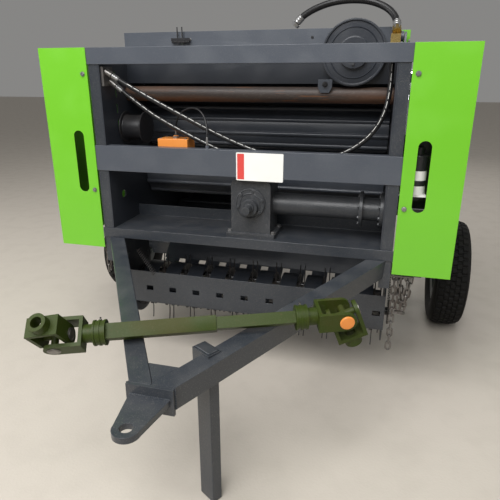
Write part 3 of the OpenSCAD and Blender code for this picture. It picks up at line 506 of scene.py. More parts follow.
# %% Metal, rubber and plastic
TYRE = finish("tyre rubber", (0.004, 0.004, 0.004), (0.010, 0.009, 0.008), 0.45, 0.03, 0.04, 500.0, 0.0004,
              0.65, specular=0.22)
STEEL = finish("bare steel", (0.20, 0.19, 0.18), (0.07, 0.05, 0.04), 0.6, 0.1, 0.1, 500.0, 0.0002, 0.38,
               metallic=0.8)
SPRING = finish("spring steel", (0.045, 0.046, 0.050), (0.11, 0.07, 0.05), 0.3, 0.2, 0.1, 500.0, 0.0002,
                0.35, metallic=0.4)
PLATED = finish("plated bolts", (0.30, 0.30, 0.30), (0.12, 0.11, 0.10), 0.5, 0.1, 0.1, 500.0, 0.0001, 0.32,
                metallic=0.8)
RUST = finish("rusty tube", (0.038, 0.026, 0.021), (0.170, 0.066, 0.024), 0.95, 0.15, 0.05, 240.0, 0.0006,
              0.5, stretch=(0.12, 1.2, 1.2))
CHROME = finish("hard chrome", (0.72, 0.72, 0.74), None, 0.0, 0.0, 0.0, 300.0, 0.0, 0.12, metallic=1.0)
BRASS = finish("brass", (0.50, 0.37, 0.14), None, 0.2, 0.1, 0.1, 400.0, 0.0002, 0.3, metallic=1.0)
RUBBER = finish("hose rubber", (0.006, 0.006, 0.007), (0.015, 0.015, 0.015), 0.3, 0.05, 0.05, 700.0, 0.0002,
                0.36, specular=0.35)
PLASTIC = finish("black plastic", (0.014, 0.014, 0.016), None, 0.2, 0.1, 0.1, 600.0, 0.0002, 0.38)
AMBER = finish("amber plastic", (0.74, 0.25, 0.045), (0.80, 0.33, 0.08), 0.5, 0.05, 0.05, 300.0, 0.0003,
               0.35)
WHITE = finish("white plastic", (0.78, 0.78, 0.74), None, 0.1, 0.05, 0.05, 300.0, 0.0002, 0.4)
RED = finish("red plastic", (0.62, 0.06, 0.05), None, 0.1, 0.05, 0.05, 300.0, 0.0002, 0.4)
FINISH_OF = {
    "dark_paint": PAINT, "lime_paint": LIME, "rim_paint": RIM, "tyre": TYRE, "steel": STEEL,
    "rusty_tube": RUST, "olive_paint": OLIVE, "black_paint": BLACK, "chrome": CHROME, "hose_rubber": RUBBER,
    "black_plastic": PLASTIC, "amber_plastic": AMBER, "white_plastic": WHITE, "brass": BRASS,
}
print("materials in the file with all finishes:", len(bpy.data.materials))

# %% [markdown]
# ## The routes of the hoses
# Each hose and the cable loop is held at both ends, so its route is a smooth line between two fittings. A
# physics run could drop it there, but these hoses are stiff and short and keep the bend they were fitted
# with. So the routes are the solid model's own points, in millimetres from the front plane, with a denser
# line through them.

# %% Hose routes
HOSES = {
    "hose_front": (0.020, [
        [-575, 40, 1414], [-535, 40, 1391], [-490, 41, 1366], [-440, 43, 1339], [-380, 46, 1308],
        [-310, 50, 1273], [-240, 55, 1238], [-170, 60, 1203], [-100, 65, 1170], [-30, 70, 1140],
        [40, 74, 1114], [110, 76, 1094], [180, 77, 1080], [250, 77, 1074], [320, 76, 1078], [385, 74, 1092],
        [445, 71, 1116], [495, 68, 1148], [535, 66, 1186], [565, 66, 1230], [585, 67, 1280], [594, 70, 1330],
        [597, 74, 1380], [597, 78, 1430], [597, 80, 1470], [597, 80, 1502]]),
    "hose_rear": (0.020, [
        [-575, 70, 1370], [-545, 70, 1347], [-505, 70, 1317], [-455, 71, 1281], [-400, 73, 1245],
        [-340, 75, 1212], [-280, 77, 1182], [-220, 78, 1154], [-165, 78, 1130], [-110, 74, 1108],
        [-60, 66, 1090], [-20, 54, 1078]]),
    "hose_top": (0.027, [
        [190, 275, 1625], [212, 272, 1646], [245, 267, 1666], [285, 260, 1682], [330, 252, 1694],
        [380, 243, 1700], [430, 233, 1700], [480, 222, 1694], [525, 208, 1680], [562, 190, 1660],
        [588, 168, 1634], [600, 144, 1606], [602, 122, 1585]]),
    "cable_loop": (0.008, [
        [-317, 105, 1161], [-316, 104, 1195], [-306, 102, 1230], [-286, 99, 1258], [-258, 95, 1274],
        [-226, 91, 1280], [-194, 80, 1272], [-168, 66, 1250], [-152, 50, 1222], [-144, 38, 1192],
        [-142, 32, 1166], [-142, 30, 1146], [-142, 30, 1129]]),
}


def at_front(*millimetres):
    """A place in metres from millimetres, with y counted from the front plane; takes one or many."""
    return np.array(millimetres, float) / 1000 + np.array([0, FRONT, 0])


def smooth_line(points, per_step=4):
    """Points on a curve through the given ones: between two neighbours it blends the quadratic through the
    three points around each of them, weighted by how near each one is."""
    p = np.asarray(points, float)
    ends = np.vstack([2 * p[0] - p[1], p, 2 * p[-1] - p[-2]])
    t = np.linspace(0, 1, per_step, endpoint=False)[None, :, None]
    a, b, c, d = (ends[k:len(ends) - 3 + k, None] for k in range(4))
    line = 0.5 * (2 * b + (c - a) * t + (2 * a - 5 * b + 4 * c - d) * t ** 2
                  + (3 * b - a - 3 * c + d) * t ** 3)
    return np.vstack([line.reshape(-1, 3), p[-1]])


def run_along(line):
    """Distance from the start of a line to each of its points."""
    return np.concatenate([[0], np.cumsum(np.linalg.norm(np.diff(line, axis=0), axis=1))])


def points_at(distances, run, line):
    """Points that lie at given distances along a line."""
    return np.stack([np.interp(distances, run, line[:, axis]) for axis in range(3)], -1)


print("hose routes:", {name: len(route) for name, (_, route) in HOSES.items()})

# %% [markdown]
# ## Hoses with sleeves and dashes
# A pressure hose ends in a crimped steel sleeve with a hexagonal nut, and a row of pale dashes runs along
# it. A texture along the hose could give the dashes, but thin raised dashes keep their place and sharpness
# at any size. The circle is swept along the dense line.

# %% Hoses
SLEEVE_AT = np.array([0, 0.003, 0.008, 0.010, 0.013, 0.018, 0.020, 0.023, 0.028, 0.030, 0.033, 0.036])
SLEEVE_WIDTH = np.array([0.6, 1.18, 1.18, 1.08, 1.18, 1.18, 1.08, 1.18, 1.18, 1.08, 1.14, 0.9])
NUT_LENGTH = 0.014
HOSES_WITH_HIGHLIGHT = ("hose_front", "hose_rear")
# The pale dashes paint the hose's highlight, on the side that faces the front lamp.
HIGHLIGHT_SIDE = unit(np.array([0.0, -0.75, 0.65]))
DASH_FROM = 0.08
DASH_TO_END = 0.06
DASH_STEP = 0.034
DASH_LENGTH = 0.026
DASH_R = 0.0011
DASH_SUNK = 0.0002


def ferrule(end, inward, radius):
    """A crimped sleeve on a hose's end, with a hexagonal nut: rings of two radii in turn along the hose."""
    sleeve = lathe(np.column_stack([SLEEVE_WIDTH * radius, SLEEVE_AT]), end, inward, 20)
    inner, outer = 0.5 * radius, 1.35 * radius
    nut = lathe([(inner, -NUT_LENGTH), (outer, -NUT_LENGTH), (outer, 0), (inner, 0)], end, inward, 6)
    return joined([sleeve, nut])


def painted_highlight_line(line, diameter):
    """Short raised pale lines on the side of a hose that faces the front lamp, at equal steps along it: they
    paint the hose's highlight.
    """
    run = run_along(line)
    highlight_bits = []
    for start in np.arange(DASH_FROM, run[-1] - DASH_TO_END, DASH_STEP):
        piece_of_line = points_at(start + np.linspace(0, DASH_LENGTH, 5), run, line)
        slope = unit(piece_of_line[-1] - piece_of_line[0])
        out = unit(HIGHLIGHT_SIDE - (HIGHLIGHT_SIDE @ slope) * slope)
        highlight_bits.append(tube(piece_of_line + out * (diameter / 2 - DASH_SUNK), DASH_R, 6, across=out))
    return joined(highlight_bits)


for hose_name, (diameter, route) in HOSES.items():
    line = smooth_line(at_front(*route))
    hose_points, hose_faces = tube(line, diameter / 2, 12, across=(0, 1, 0))
    hose = finished(hose_name + "_tube", hose_points, hose_faces, RUBBER, "chassis", "hose_rubber", hose_name)
    length = float(np.linalg.norm(np.diff(line, axis=0), axis=1).sum())
    ends = joined([ferrule(line[0], line[1] - line[0], diameter / 2),
                   ferrule(line[-1], line[-2] - line[-1], diameter / 2)])
    pieces_on = [finished(hose_name + "_ferrules", *ends, PLATED, "chassis", "steel")]
    if hose_name in HOSES_WITH_HIGHLIGHT:
        pieces_on.append(finished(hose_name + "_painted_highlight", *painted_highlight_line(line, diameter), WHITE, "chassis",
                                  "white_plastic"))
    print(hose_name, "is", round(length, 3), "m long")

# %% [markdown]
# ## Sheet metal and tubes
# Plates, tubes and castings already have their exact shapes in the solid model, so remodelling them would
# only add errors. A copy of each is welded, its coplanar triangles are merged, and a bevel modifier softens
# its edges. The machine is painted all over in one paint, but its inside, its drawbar and its other low
# pieces take darker copies of it, which paint in the shade that falls on them.

# %% Frame pieces
REMADE = set(HOSES) | {"pickup_reel", "drive_chains", "safety_chains", "tyre_left", "tyre_right"}
PLAIN_EDGE = 0.0015
WELD_WITHIN = 1e-5
FLAT_DEGREES = 0.6
EDGE = {"gate_plates": 0.001, "gate_tubes": 0.001, "gearbox": 0.004, "drawbar_left": 0.004,
        "drawbar_right": 0.004, "stand_leg": 0.004, "axle": 0.004, "pto_shaft": 0.0025, "control_box": 0.006,
        "lube_bottle": 0.004, "guard_left": 0.001, "guard_right": 0.001, "drive_shaft": 0.0005,
        "cable_drum": 0.004, "twine_disc": 0.003}
# Low pieces take the drawbar paint and the chamber's inside the inner paint, both with painted shade; the net
# box takes its paint with painted shade below the top beam.
OWN_FINISH = {"drawbar_left": SHADED_LOWER_PAINT, "drawbar_right": SHADED_LOWER_PAINT, "hitch_plate": SHADED_LOWER_PAINT, "stand_leg": SHADED_LOWER_PAINT,
              "shelf": SHADED_LOWER_PAINT, "gearbox": CAST, "twine_disc": SHADED_INNER_PAINT, "cross_tubes": SHADED_INNER_PAINT,
              "side_plate_left": SHADED_INNER_PAINT, "side_plate_right": SHADED_INNER_PAINT, "pickup_frame": SHADED_LOWER_PAINT, "pickup_bands": SHADED_INNER_PAINT,
              "chassis_left": SHADED_LOWER_PAINT, "chassis_right": SHADED_LOWER_PAINT, "axle": SHADED_LOWER_PAINT, "gate_tubes": SHADED_INNER_PAINT,
              "input_shaft": CAST, "net_box": NET_PAINT_SHADED}


def dressed_copy(node, material, bevel, sharp=30):
    """A welded copy of a node's mesh with flat areas merged and its edges softened, in the node's place."""
    mesh = frame["nodes"][node].data.copy()
    shape = bmesh.new()
    shape.from_mesh(mesh)
    bmesh.ops.remove_doubles(shape, verts=shape.verts, dist=WELD_WITHIN)
    bmesh.ops.dissolve_limit(shape, angle_limit=math.radians(FLAT_DEGREES), verts=shape.verts,
                             edges=shape.edges)
    shape.to_mesh(mesh)
    shape.free()
    piece = bpy.data.objects.new(node + "_body", mesh)
    bpy.context.scene.collection.objects.link(piece)
    dress(piece, material, BODY_OF[node], node, sharp, bevel)
    return piece


for cad_node in sorted(set(frame["nodes"]) - REMADE):
    paint = OWN_FINISH.get(cad_node, FINISH_OF[SLOT_OF[cad_node]])
    # The rollers take the roller paint, with painted shade.
    if cad_node.startswith("roller"):
        paint = SHADED_ROLLER_PAINT
    dressed_copy(cad_node, paint, EDGE.get(cad_node, PLAIN_EDGE))
print("dressed", len(frame["nodes"]) - len(REMADE), "solid pieces")

# %% [markdown]
# ## A spring tine
# The tines sweep the hay up, and they are what takes most skill here. Each is a spring wire that is wound
# two and a half turns round its bar and leaves it as a straight arm with a slightly bent tip. A straight
# pin would be simpler, but the coil shows from the front. So one path is made of a helix and an arm, and a
# circle is carried along it.

# %% Spring tine
BAR_RADIUS = 0.095
BAR_R = 0.014
TIP_RADIUS = 0.205
WIRE_R = 0.003
COIL_GAP = 0.001
COIL_POINTS = 34


def tine(side, turns=2.5, coil_step=0.0066, arm_x=0.012, bend=0.012):
    """A helix about the bar, its x moving one step each turn towards the arm, and then a straight arm that
    runs outwards and bends back at the tip. Local axes: along the bar, across it, and outwards."""
    coil_r = BAR_R + WIRE_R + COIL_GAP
    angle = np.linspace(-turns * 2 * np.pi, 0, COIL_POINTS)
    coil = np.column_stack([side * (arm_x - coil_step * angle / (2 * np.pi)), coil_r * np.cos(angle),
                            coil_r * np.sin(angle)])
    tip = math.sqrt(TIP_RADIUS ** 2 - (coil_r - bend) ** 2) - BAR_RADIUS
    rise = np.array([0.02, 0.05, 0.075, 0.095, tip])
    arm = np.column_stack([np.full(len(rise), side * arm_x), coil_r - bend * (rise / tip) ** 3, rise])
    return tube(np.vstack([coil, arm]), WIRE_R, 6, across=(1, 0, 0))


print("one tine has", len(tine(1)[1]), "faces")

# %% [markdown]
# ## The pickup reel
# Four bars turn about the shaft between two discs, and each bar carries a row of double tines. The reel is
# driven by a sprocket, whose teeth are a radius that swings between root and tip. Each tine could be an
# object of its own, but eighty of them would all have to ride on the reel. So the eight rows are copies of
# two tines, a right one and a left one, and the reel is two pieces: its core and its springs.

# %% Pickup reel
REEL = JOINT_AT[BODY_OF["pickup_reel"]] * np.array([0, 1, 1])
REEL_HALF = 0.645
STUB_R = 0.020
CORE_R = 0.030
DISC_R = 0.115
DISC_THICK = 0.006
SPROCKET_X = 0.681
TOOTH_STEEPNESS = 2.2
TINE_PITCH = 0.125
TINES_PER_ROW = 10
ALONG_X = np.array([1.0, 0, 0])


def sprocket(x, centre, tip=0.055, depth=0.008, teeth=15, thickness=0.008):
    """A toothed disc: its radius swings between root and tip once for each tooth."""
    angle = np.linspace(0, 2 * np.pi, teeth * 8, endpoint=False)
    tooth = np.tanh(TOOTH_STEEPNESS * np.cos(teeth * angle)) / math.tanh(TOOTH_STEEPNESS)
    radius = tip - depth * (0.5 - 0.5 * tooth)
    outline = radius[:, None] * np.column_stack([np.cos(angle), np.sin(angle)])
    return slab(outline, np.array([x, centre[1], centre[2]]), [[0, 1, 0], [0, 0, 1], [1, 0, 0]], thickness)


def reel_bar(start, end, radius, sides=24, middle=REEL):
    """A round bar along the reel's axis or beside it, from one x to another."""
    return rod(middle + start * ALONG_X, middle + end * ALONG_X, radius, sides)


bar_angle = np.radians([0, 90, 180, 270])
outwards = np.column_stack([np.zeros(4), np.cos(bar_angle), np.sin(bar_angle)])
onwards = np.column_stack([np.zeros(4), -np.sin(bar_angle), np.cos(bar_angle)])
tine_parts = []
for out_dir, on_dir in zip(outwards, onwards):
    for side, first_place in ((1, 0), (-1, 1)):
        steps = np.arange(TINES_PER_ROW) + first_place
        run_x = (TINE_PITCH * steps - TINE_PITCH * TINES_PER_ROW / 2)[:, None]
        tine_parts.append(copies(tine(side), REEL + BAR_RADIUS * out_dir + run_x * ALONG_X,
                                 [ALONG_X, on_dir, out_dir]))
reel_parts = [reel_bar(box("pickup_reel")[0][0], box("pickup_reel")[1][0], STUB_R),
              reel_bar(-REEL_HALF, REEL_HALF, CORE_R), sprocket(SPROCKET_X, REEL)]
for x in (-REEL_HALF, REEL_HALF - DISC_THICK):
    reel_parts.append(reel_bar(x, x + DISC_THICK, DISC_R, 64))
for out_dir in outwards:
    reel_parts.append(reel_bar(-REEL_HALF, REEL_HALF, BAR_R, middle=REEL + BAR_RADIUS * out_dir))
# The core takes the black paint, whose dark tone paints in the shade that lies over the pickup.
finished("reel_core", *joined(reel_parts), BLACK, BODY_OF["pickup_reel"], "steel", "pickup_reel")
tine_points, tine_faces = joined(tine_parts)
finished("reel_tines", tine_points, tine_faces, SPRING, BODY_OF["pickup_reel"], "steel")
print("tines:", len(tine_parts) * TINES_PER_ROW, "faces:", len(tine_faces))

# %% [markdown]
# ## Roller chains
# The rollers, the cross shaft and the reel are driven by roller chains, which are two kinds of link in
# turn. A textured band would do from far off, but the chains show from the side once a guard is open. So
# one link is copied along a loop: straight runs between two sprockets and half circles round them.

# %% Roller chains
CHAIN_PITCH = 0.0159
PITCH_RADIUS = 0.0603
CHAIN_X = 0.657
LANE_STEP = 0.014
LINK_PLATE_R = 0.0042
LINK_PLATE_THICK = 0.001
OUTER_LINK_Z = 0.0029
INNER_LINK_Z = 0.0019
LINK_PIN_R, LINK_PIN_HALF = 0.0016, 0.0038
LINK_ROLLER_R, LINK_ROLLER_HALF = 0.0036, 0.0014
DRIVE = JOINT_AT[BODY_OF["drive_shaft"]][1:]
ROLLER_AT = {number: JOINT_AT[BODY_OF[f"roller_{number}"]][1:] for number in range(1, 6)}
# One row a chain: its two axes and its lane, counted outwards from the side plate
CHAIN_RUNS = [(DRIVE, ROLLER_AT[2], 2), (ROLLER_AT[2], ROLLER_AT[1], 0), (ROLLER_AT[2], ROLLER_AT[3], 1),
              (ROLLER_AT[3], ROLLER_AT[4], 0), (ROLLER_AT[4], ROLLER_AT[5], 1), (ROLLER_AT[1], REEL[1:], 2)]


def loop_places(a, b, radius, count):
    """Places and directions at equal steps round two equal circles and the straights between them."""
    a, b = np.asarray(a, float), np.asarray(b, float)
    gap = np.linalg.norm(b - a)
    u = (b - a) / gap
    n = np.array([-u[1], u[0]])
    half = gap + np.pi * radius
    s = np.arange(count) * 2 * half / count
    back = (s >= half)[:, None]
    s = np.where(s >= half, s - half, s)[:, None]
    sign = np.where(back, -1.0, 1.0)
    start, stop = np.where(back, b, a), np.where(back, a, b)
    phi = np.clip((s - gap) / radius, 0, None)
    run = start + sign * (n * radius + u * np.minimum(s, gap))
    curve = stop + sign * radius * (n * np.cos(phi) + u * np.sin(phi))
    place = np.where(s < gap, run, curve)
    slope = sign * (u * np.cos(phi) - n * np.sin(phi))
    return place, slope


def chain_link(outer):
    """Two side plates with round ends, further apart on every second link, and one roller on its pin."""
    turn = np.linspace(0, 2 * np.pi, 12, endpoint=False) + np.pi / 12
    plate = LINK_PLATE_R * np.column_stack([np.cos(turn), np.sin(turn)])
    plate[:, 0] += np.sign(plate[:, 0]) * CHAIN_PITCH / 2
    z = OUTER_LINK_Z if outer else INNER_LINK_Z
    plates = [slab(plate, (0, 0, sign * z - LINK_PLATE_THICK / 2), np.eye(3), LINK_PLATE_THICK)
              for sign in (-1, 1)]
    end = CHAIN_PITCH / 2
    pin = tube([(end, 0, -LINK_PIN_HALF), (end, 0, LINK_PIN_HALF)], LINK_PIN_R, 6, across=(0, 1, 0))
    roll = tube([(end, 0, -LINK_ROLLER_HALF), (end, 0, LINK_ROLLER_HALF)], LINK_ROLLER_R, 8,
                across=(0, 1, 0))
    return joined(plates + [pin, roll])


chain_parts = []
for first_axis, second_axis, lane in CHAIN_RUNS:
    length = 2 * (np.linalg.norm(np.subtract(second_axis, first_axis)) + np.pi * PITCH_RADIUS)
    links = 2 * round(length / CHAIN_PITCH / 2)
    place, slope = loop_places(first_axis, second_axis, PITCH_RADIUS, links)
    places = np.column_stack([np.full(links, CHAIN_X + LANE_STEP * lane), place])
    slopes = np.column_stack([np.zeros(links), slope])
    axes = np.stack([slopes, np.cross(ALONG_X, slopes), np.broadcast_to(ALONG_X, slopes.shape)], 1)
    for odd in (0, 1):
        chain_parts.append(copies(chain_link(odd), places[odd::2], axes[odd::2]))
chain_points, chain_faces = joined(chain_parts)
finished("drive_chain_links", chain_points, chain_faces, STEEL, "chassis", "steel", "drive_chains")
print("drive chain faces:", len(chain_faces))

# %% [markdown]
# ## Safety chains
# Bundles of oval links hang on a pin at each front post. A real chain finds its curve by its weight, and
# each link sits a quarter turn round from the one before. A row of rings in a physics run would settle the
# same way, but a smooth hanging line with links at equal steps gives that look at once and never jitters.

# %% Safety chains
LINK_PITCH = 0.034
CHAIN_TOP = 604
PIN_R = 0.006
PIN_FROM = 660
PIN_TO = {1: 762, -1: 700}


def oval_link(straight=0.011, bend_r=0.010, wire_r=0.004):
    """A wire along an oval: half circles at both ends of two straights, standing along the third axis."""
    turn = np.linspace(0, 2 * np.pi, 20, endpoint=False) + np.pi / 20
    path = bend_r * np.column_stack([np.cos(turn), np.zeros(20), np.sin(turn)])
    path[:, 2] += np.sign(path[:, 2]) * straight
    return tube(path, wire_r, 8, across=(0, 1, 0), closed=True)


def hung_links(path):
    """Links at equal steps along a path, every second one turned a quarter round it."""
    line = smooth_line(np.asarray(path, float), 12)
    run = run_along(line)
    places = points_at(np.arange(0, run[-1] + 1e-6, LINK_PITCH), run, line)
    axes = axes_along(np.gradient(places, axis=0), (0, 1, 0.02))
    axes[1::2] = axes[1::2][:, [1, 0, 2]]
    return copies(oval_link(), places, axes)


HUNG_ROUTES = [
    [(688, 50, CHAIN_TOP), (689, 50, 480), (690, 50, 360), (688, 50, 250)],
    [(702, 50, CHAIN_TOP), (706, 46, 500), (722, 44, 436), (738, 48, 500), (742, 52, CHAIN_TOP)],
    [(714, 66, CHAIN_TOP), (718, 70, 520), (734, 72, 462), (748, 68, 520), (754, 62, CHAIN_TOP)],
    [(-688, 50, CHAIN_TOP), (-688, 50, 570), (-688, 50, 536), (-688, 50, 502)],
]
link_points, link_faces = joined([hung_links(at_front(*route)) for route in HUNG_ROUTES])
finished("chain_links", link_points, link_faces, STEEL, "chassis", "steel", "safety_chains")
pins = joined([rod(*at_front((side * PIN_FROM, 50, CHAIN_TOP), (side * reach, 50, CHAIN_TOP)), PIN_R)
               for side, reach in PIN_TO.items()])
finished("chain_pins", *pins, STEEL, "chassis", "steel")
print("safety chain faces:", len(link_faces))

# %% [markdown]
# ## Tyres
# The tyre's section is turned about the axle as on a lathe, but its radius also depends on the angle:
# between the blocks of the tread it drops by the depth of the grooves. A bump could fake the blocks, but
# their notched edge shows against the floor. Rows next to each other are shifted by half a block, and the
# shoulders are rounded.

# %% Tyres
TYRE_R = (box("tyre_left")[1][2] - box("tyre_left")[0][2]) / 2
TYRE_HALF = (box("tyre_left")[1][0] - box("tyre_left")[0][0]) / 2
RIM_R = 0.165
BLOCKS = 44
STEPS_PER_BLOCK = 6
RAISED_STEPS = 4
GROOVE = 0.008
GROOVE_SLANT = 0.0008
CROWN_FLAT = 0.030
CROWN_FALL = 0.040
CROWN_DROP = 0.009
# Each tread row from its left to its right edge, and the tyre's side from bead to shoulder as (radius, x)
TREAD_ROWS = [(-0.068, -0.041), (-0.036, -0.015), (-0.011, 0.011), (0.015, 0.036), (0.041, 0.068)]
TYRE_SIDE = np.array([
    (RIM_R, 0.059), (RIM_R + 0.013, 0.063), (RIM_R + 0.013, 0.072), (RIM_R + 0.022, TYRE_HALF - 0.012),
    (TYRE_R - 0.100, TYRE_HALF - 0.002), (TYRE_R - 0.070, TYRE_HALF), (TYRE_R - 0.045, TYRE_HALF - 0.001),
    (TYRE_R - 0.026, TYRE_HALF - 0.006), (TYRE_R - 0.016, TYRE_HALF - 0.012)])


def tyre_shape(centre):
    """Rings of a closed section: along the section the radius follows beads, walls, shoulders and tread, and
    round the axle the tread's radius drops in the gaps between blocks."""
    tread_x, row_of = [], []
    for number, (low, high) in enumerate(TREAD_ROWS):
        tread_x += [low - GROOVE_SLANT, low, (low + high) / 2, high, high + GROOVE_SLANT]
        row_of += [-1, number, number, number, -1]
    tread_x, row_of = np.array(tread_x), np.array(row_of)
    crown = TYRE_R - CROWN_DROP * np.clip((np.abs(tread_x) - CROWN_FLAT) / CROWN_FALL, 0, 1) ** 1.6
    steps = BLOCKS * STEPS_PER_BLOCK
    phase = (np.arange(steps)[:, None] + STEPS_PER_BLOCK // 2 * (row_of[None] % 2)) % STEPS_PER_BLOCK
    low = (row_of[None] < 0) | (phase >= RAISED_STEPS)
    tread_r = crown[None] - GROOVE * low
    left, right = TYRE_SIDE * (1, -1), TYRE_SIDE[::-1]
    radius = np.concatenate([np.broadcast_to(left[:, 0], (steps, len(left))), tread_r,
                             np.broadcast_to(right[:, 0], (steps, len(right)))], 1)
    x = np.concatenate([left[:, 1], tread_x, right[:, 1]])
    angle = np.linspace(0, 2 * np.pi, steps, endpoint=False)[:, None]
    points = np.stack([np.broadcast_to(x, radius.shape), radius * np.cos(angle), radius * np.sin(angle)], -1)
    return grid(np.asarray(centre) + points, wrap_rows=True, wrap_columns=True)


for side_name in ("left", "right"):
    low, high = box(f"tyre_{side_name}")
    points, faces = tyre_shape((low + high) / 2)
    finished(f"tyre_{side_name}_tread", points, faces, TYRE, BODY_OF[f"tyre_{side_name}"], "tyre",
             f"tyre_{side_name}", sharp=40)
print("tyre faces each:", len(faces))

# %% [markdown]
# ## Bolt heads
# Hexagonal heads hold the covers, bearings and flanges. Holes and threads would never be seen, so a bolt is
# only its washer and its head with a turned-down rim. One head is copied to every place of a joint, and a
# ring of places about an axis is one line.

# %% Bolt helpers
def around(centre, radius, count, axis, turn=0.0):
    """Places at equal steps on a circle about an axis through a centre."""
    first, second, _ = axes_along(axis, reference_for(unit(np.asarray(axis, float))))
    angle = turn + np.linspace(0, 2 * np.pi, count, endpoint=False)[:, None]
    return np.asarray(centre) + radius * (np.cos(angle) * first + np.sin(angle) * second)


def bolt(d):
    """A washer and a hexagonal head for a thread of diameter d, standing on z = 0, with every size a share
    of d."""
    washer = lathe([(0, 0), (1.15 * d, 0), (1.15 * d, 0.18 * d), (0, 0.18 * d)], (0, 0, 0), (0, 0, 1), 20)
    head_profile = [(0, 0.18 * d), (0.98 * d, 0.18 * d), (0.98 * d, 0.74 * d), (0.84 * d, 0.84 * d),
                    (0, 0.84 * d)]
    return joined([washer, lathe(head_profile, (0, 0, 0), (0, 0, 1), 6)])


def bolts(name, places, direction, d, body, finish_of_bolts=None):
    """Bolt heads of thread diameter d at many places, all looking one way; gives back how many."""
    points, faces = copies(bolt(d), places, axes_along(direction, reference_for(direction)))
    finished(name, points, faces, finish_of_bolts or PLATED, body, "steel")
    return len(places)


print("one bolt head has", len(bolt(0.01)[1]), "faces")

# %% [markdown]
# ## Where the bolts go
# The gearbox's round cover and its foot are bolted, and so are both flanges of the drive tube. Each
# roller's bearing has four bolts on the outside of its plate, each guard has two in its front edge, and
# each wheel has five nuts round a pressed cap. They could be put down one by one, but most places are
# counted from a shaft or a tyre of the frame, so that the bolts follow it when it changes.

# %% Bolts
GEAR_X = 0.05
GEAR_Z = JOINT_AT[BODY_OF["input_shaft"]][2]
PLATE_OUT = 0.641
COVER_CIRCLE = 0.056
FLANGE_CIRCLE = 0.063
BEARING_CIRCLE = 0.043
NUT_CIRCLE = 0.080
NUT_FACE = 0.0065
TUBE_FLANGES = (0.515, 0.601)
HUB_CAP = [(0, 0.058), (0.020, 0.057), (0.032, 0.052), (0.036, 0.048), (0.036, 0.044), (0, 0.044)]
COVER = np.array([GEAR_X, FRONT + 0.026, GEAR_Z + 0.016])
bolt_count = bolts("gear_cover_bolts", around(COVER, COVER_CIRCLE, 6, (0, -1, 0), 0.3), (0, -1, 0), 0.007,
                   "chassis", CAST)
gear_foot = at_front(*[(50 + dx, y, 748) for dx in (-99, 99) for y in (48, 172)])
bolt_count += bolts("gear_foot_bolts", gear_foot, (0, 0, 1), 0.012, "chassis")
for x in TUBE_FLANGES:
    ring = around([x, DRIVE[0], DRIVE[1]], FLANGE_CIRCLE, 8, (-1, 0, 0), 0.4)
    bolt_count += bolts(f"drive_tube_bolts_{round(x * 1000)}", ring, (-1, 0, 0), 0.008, "chassis", CAST)
for side, side_name in ((-1, "left"), (1, "right")):
    way = (side, 0, 0)
    for plate_node, rollers in (("side_plate_" + side_name, range(1, 6)), ("gate_plates", range(6, 12))):
        hubs = [[side * PLATE_OUT, *JOINT_AT[BODY_OF[f"roller_{number}"]][1:]] for number in rollers]
        rings = [around(hub, BEARING_CIRCLE, 4, way, 0.8) for hub in hubs]
        bolt_count += bolts(f"{plate_node}_bearing_bolts_{side_name}", np.vstack(rings), way, 0.009,
                            BODY_OF[plate_node])
    guard_edge = at_front((side * 692, -3, 912), (side * 692, -3, 1420))
    bolt_count += bolts(f"guard_bolt_{side_name}", guard_edge, (0, -1, 0), 0.009,
                        BODY_OF[f"guard_{side_name}"])
    wheel_body = BODY_OF[f"wheel_{side_name}"]
    wheel_middle = (box(f"tyre_{side_name}")[0] + box(f"tyre_{side_name}")[1]) / 2
    nuts = around(wheel_middle + [side * NUT_FACE, 0, 0], NUT_CIRCLE, 5, way)
    bolt_count += bolts(f"wheel_nuts_{side_name}", nuts, way, 0.013, wheel_body)
    finished(f"hub_cap_{side_name}", *lathe(HUB_CAP, wheel_middle, way), PLATED, wheel_body, "steel")
print("bolts:", bolt_count)

# %% [markdown]
# ## The loose drive shaft
# The shaft's cross joints show the ends of their bearing cups in the yokes' ears, one of them amber, and
# the tube's ends turn in collars. The shaft lies askew on the drawbar, so working each place out in the
# machine's axes would be a tangle. The small pieces are made in the shaft's own frame, a chain of turns and
# moves from the drawbar's plane outwards, and then placed by that frame's matrix.

# %% The drive shaft's frame
SHAFT_A, SHAFT_B = np.array([-0.382, -0.798]), np.array([0.510, -0.478])
DRAWBAR_FALL, DRAWBAR_RUN = 0.117, 0.900
SHAFT_DROP = math.atan2(DRAWBAR_FALL, DRAWBAR_RUN)
SHAFT_TUBE_WIDTH = 0.050
SHAFT_CLEAR = 0.0003
DRAWBAR_TOP = box("shelf")[0][2]
YOKE_REACH = 0.124
EAR_OUT = 0.052
COLLAR_LENGTH = 0.040
COLLAR_R = 0.040
BANDS_AT = (0.003, 0.020, 0.037)
NIPPLE_TURN = -35


def turned(degrees, axis):
    """A turn about an axis."""
    return Matrix.Rotation(math.radians(degrees), 4, axis)


def moved(x, y, z):
    """A move along the three axes."""
    return Matrix.Translation((x, y, z))


def placed(part, matrix):
    """A part's points carried by a matrix."""
    m = np.array(matrix)
    return part[0] @ m[:3, :3].T + m[:3, 3], part[1]


along = SHAFT_B - SHAFT_A
SHAFT_LENGTH = float(np.linalg.norm(along))
SHAFT_BASE = (moved(0, FRONT, DRAWBAR_TOP) @ Matrix.Rotation(SHAFT_DROP, 4, "X")
              @ moved(SHAFT_A[0], SHAFT_A[1], SHAFT_TUBE_WIDTH / math.sqrt(2) + SHAFT_CLEAR)
              @ Matrix.Rotation(math.atan2(along[1], along[0]), 4, "Z"))
print("shaft is", round(SHAFT_LENGTH, 3), "m between its ends")

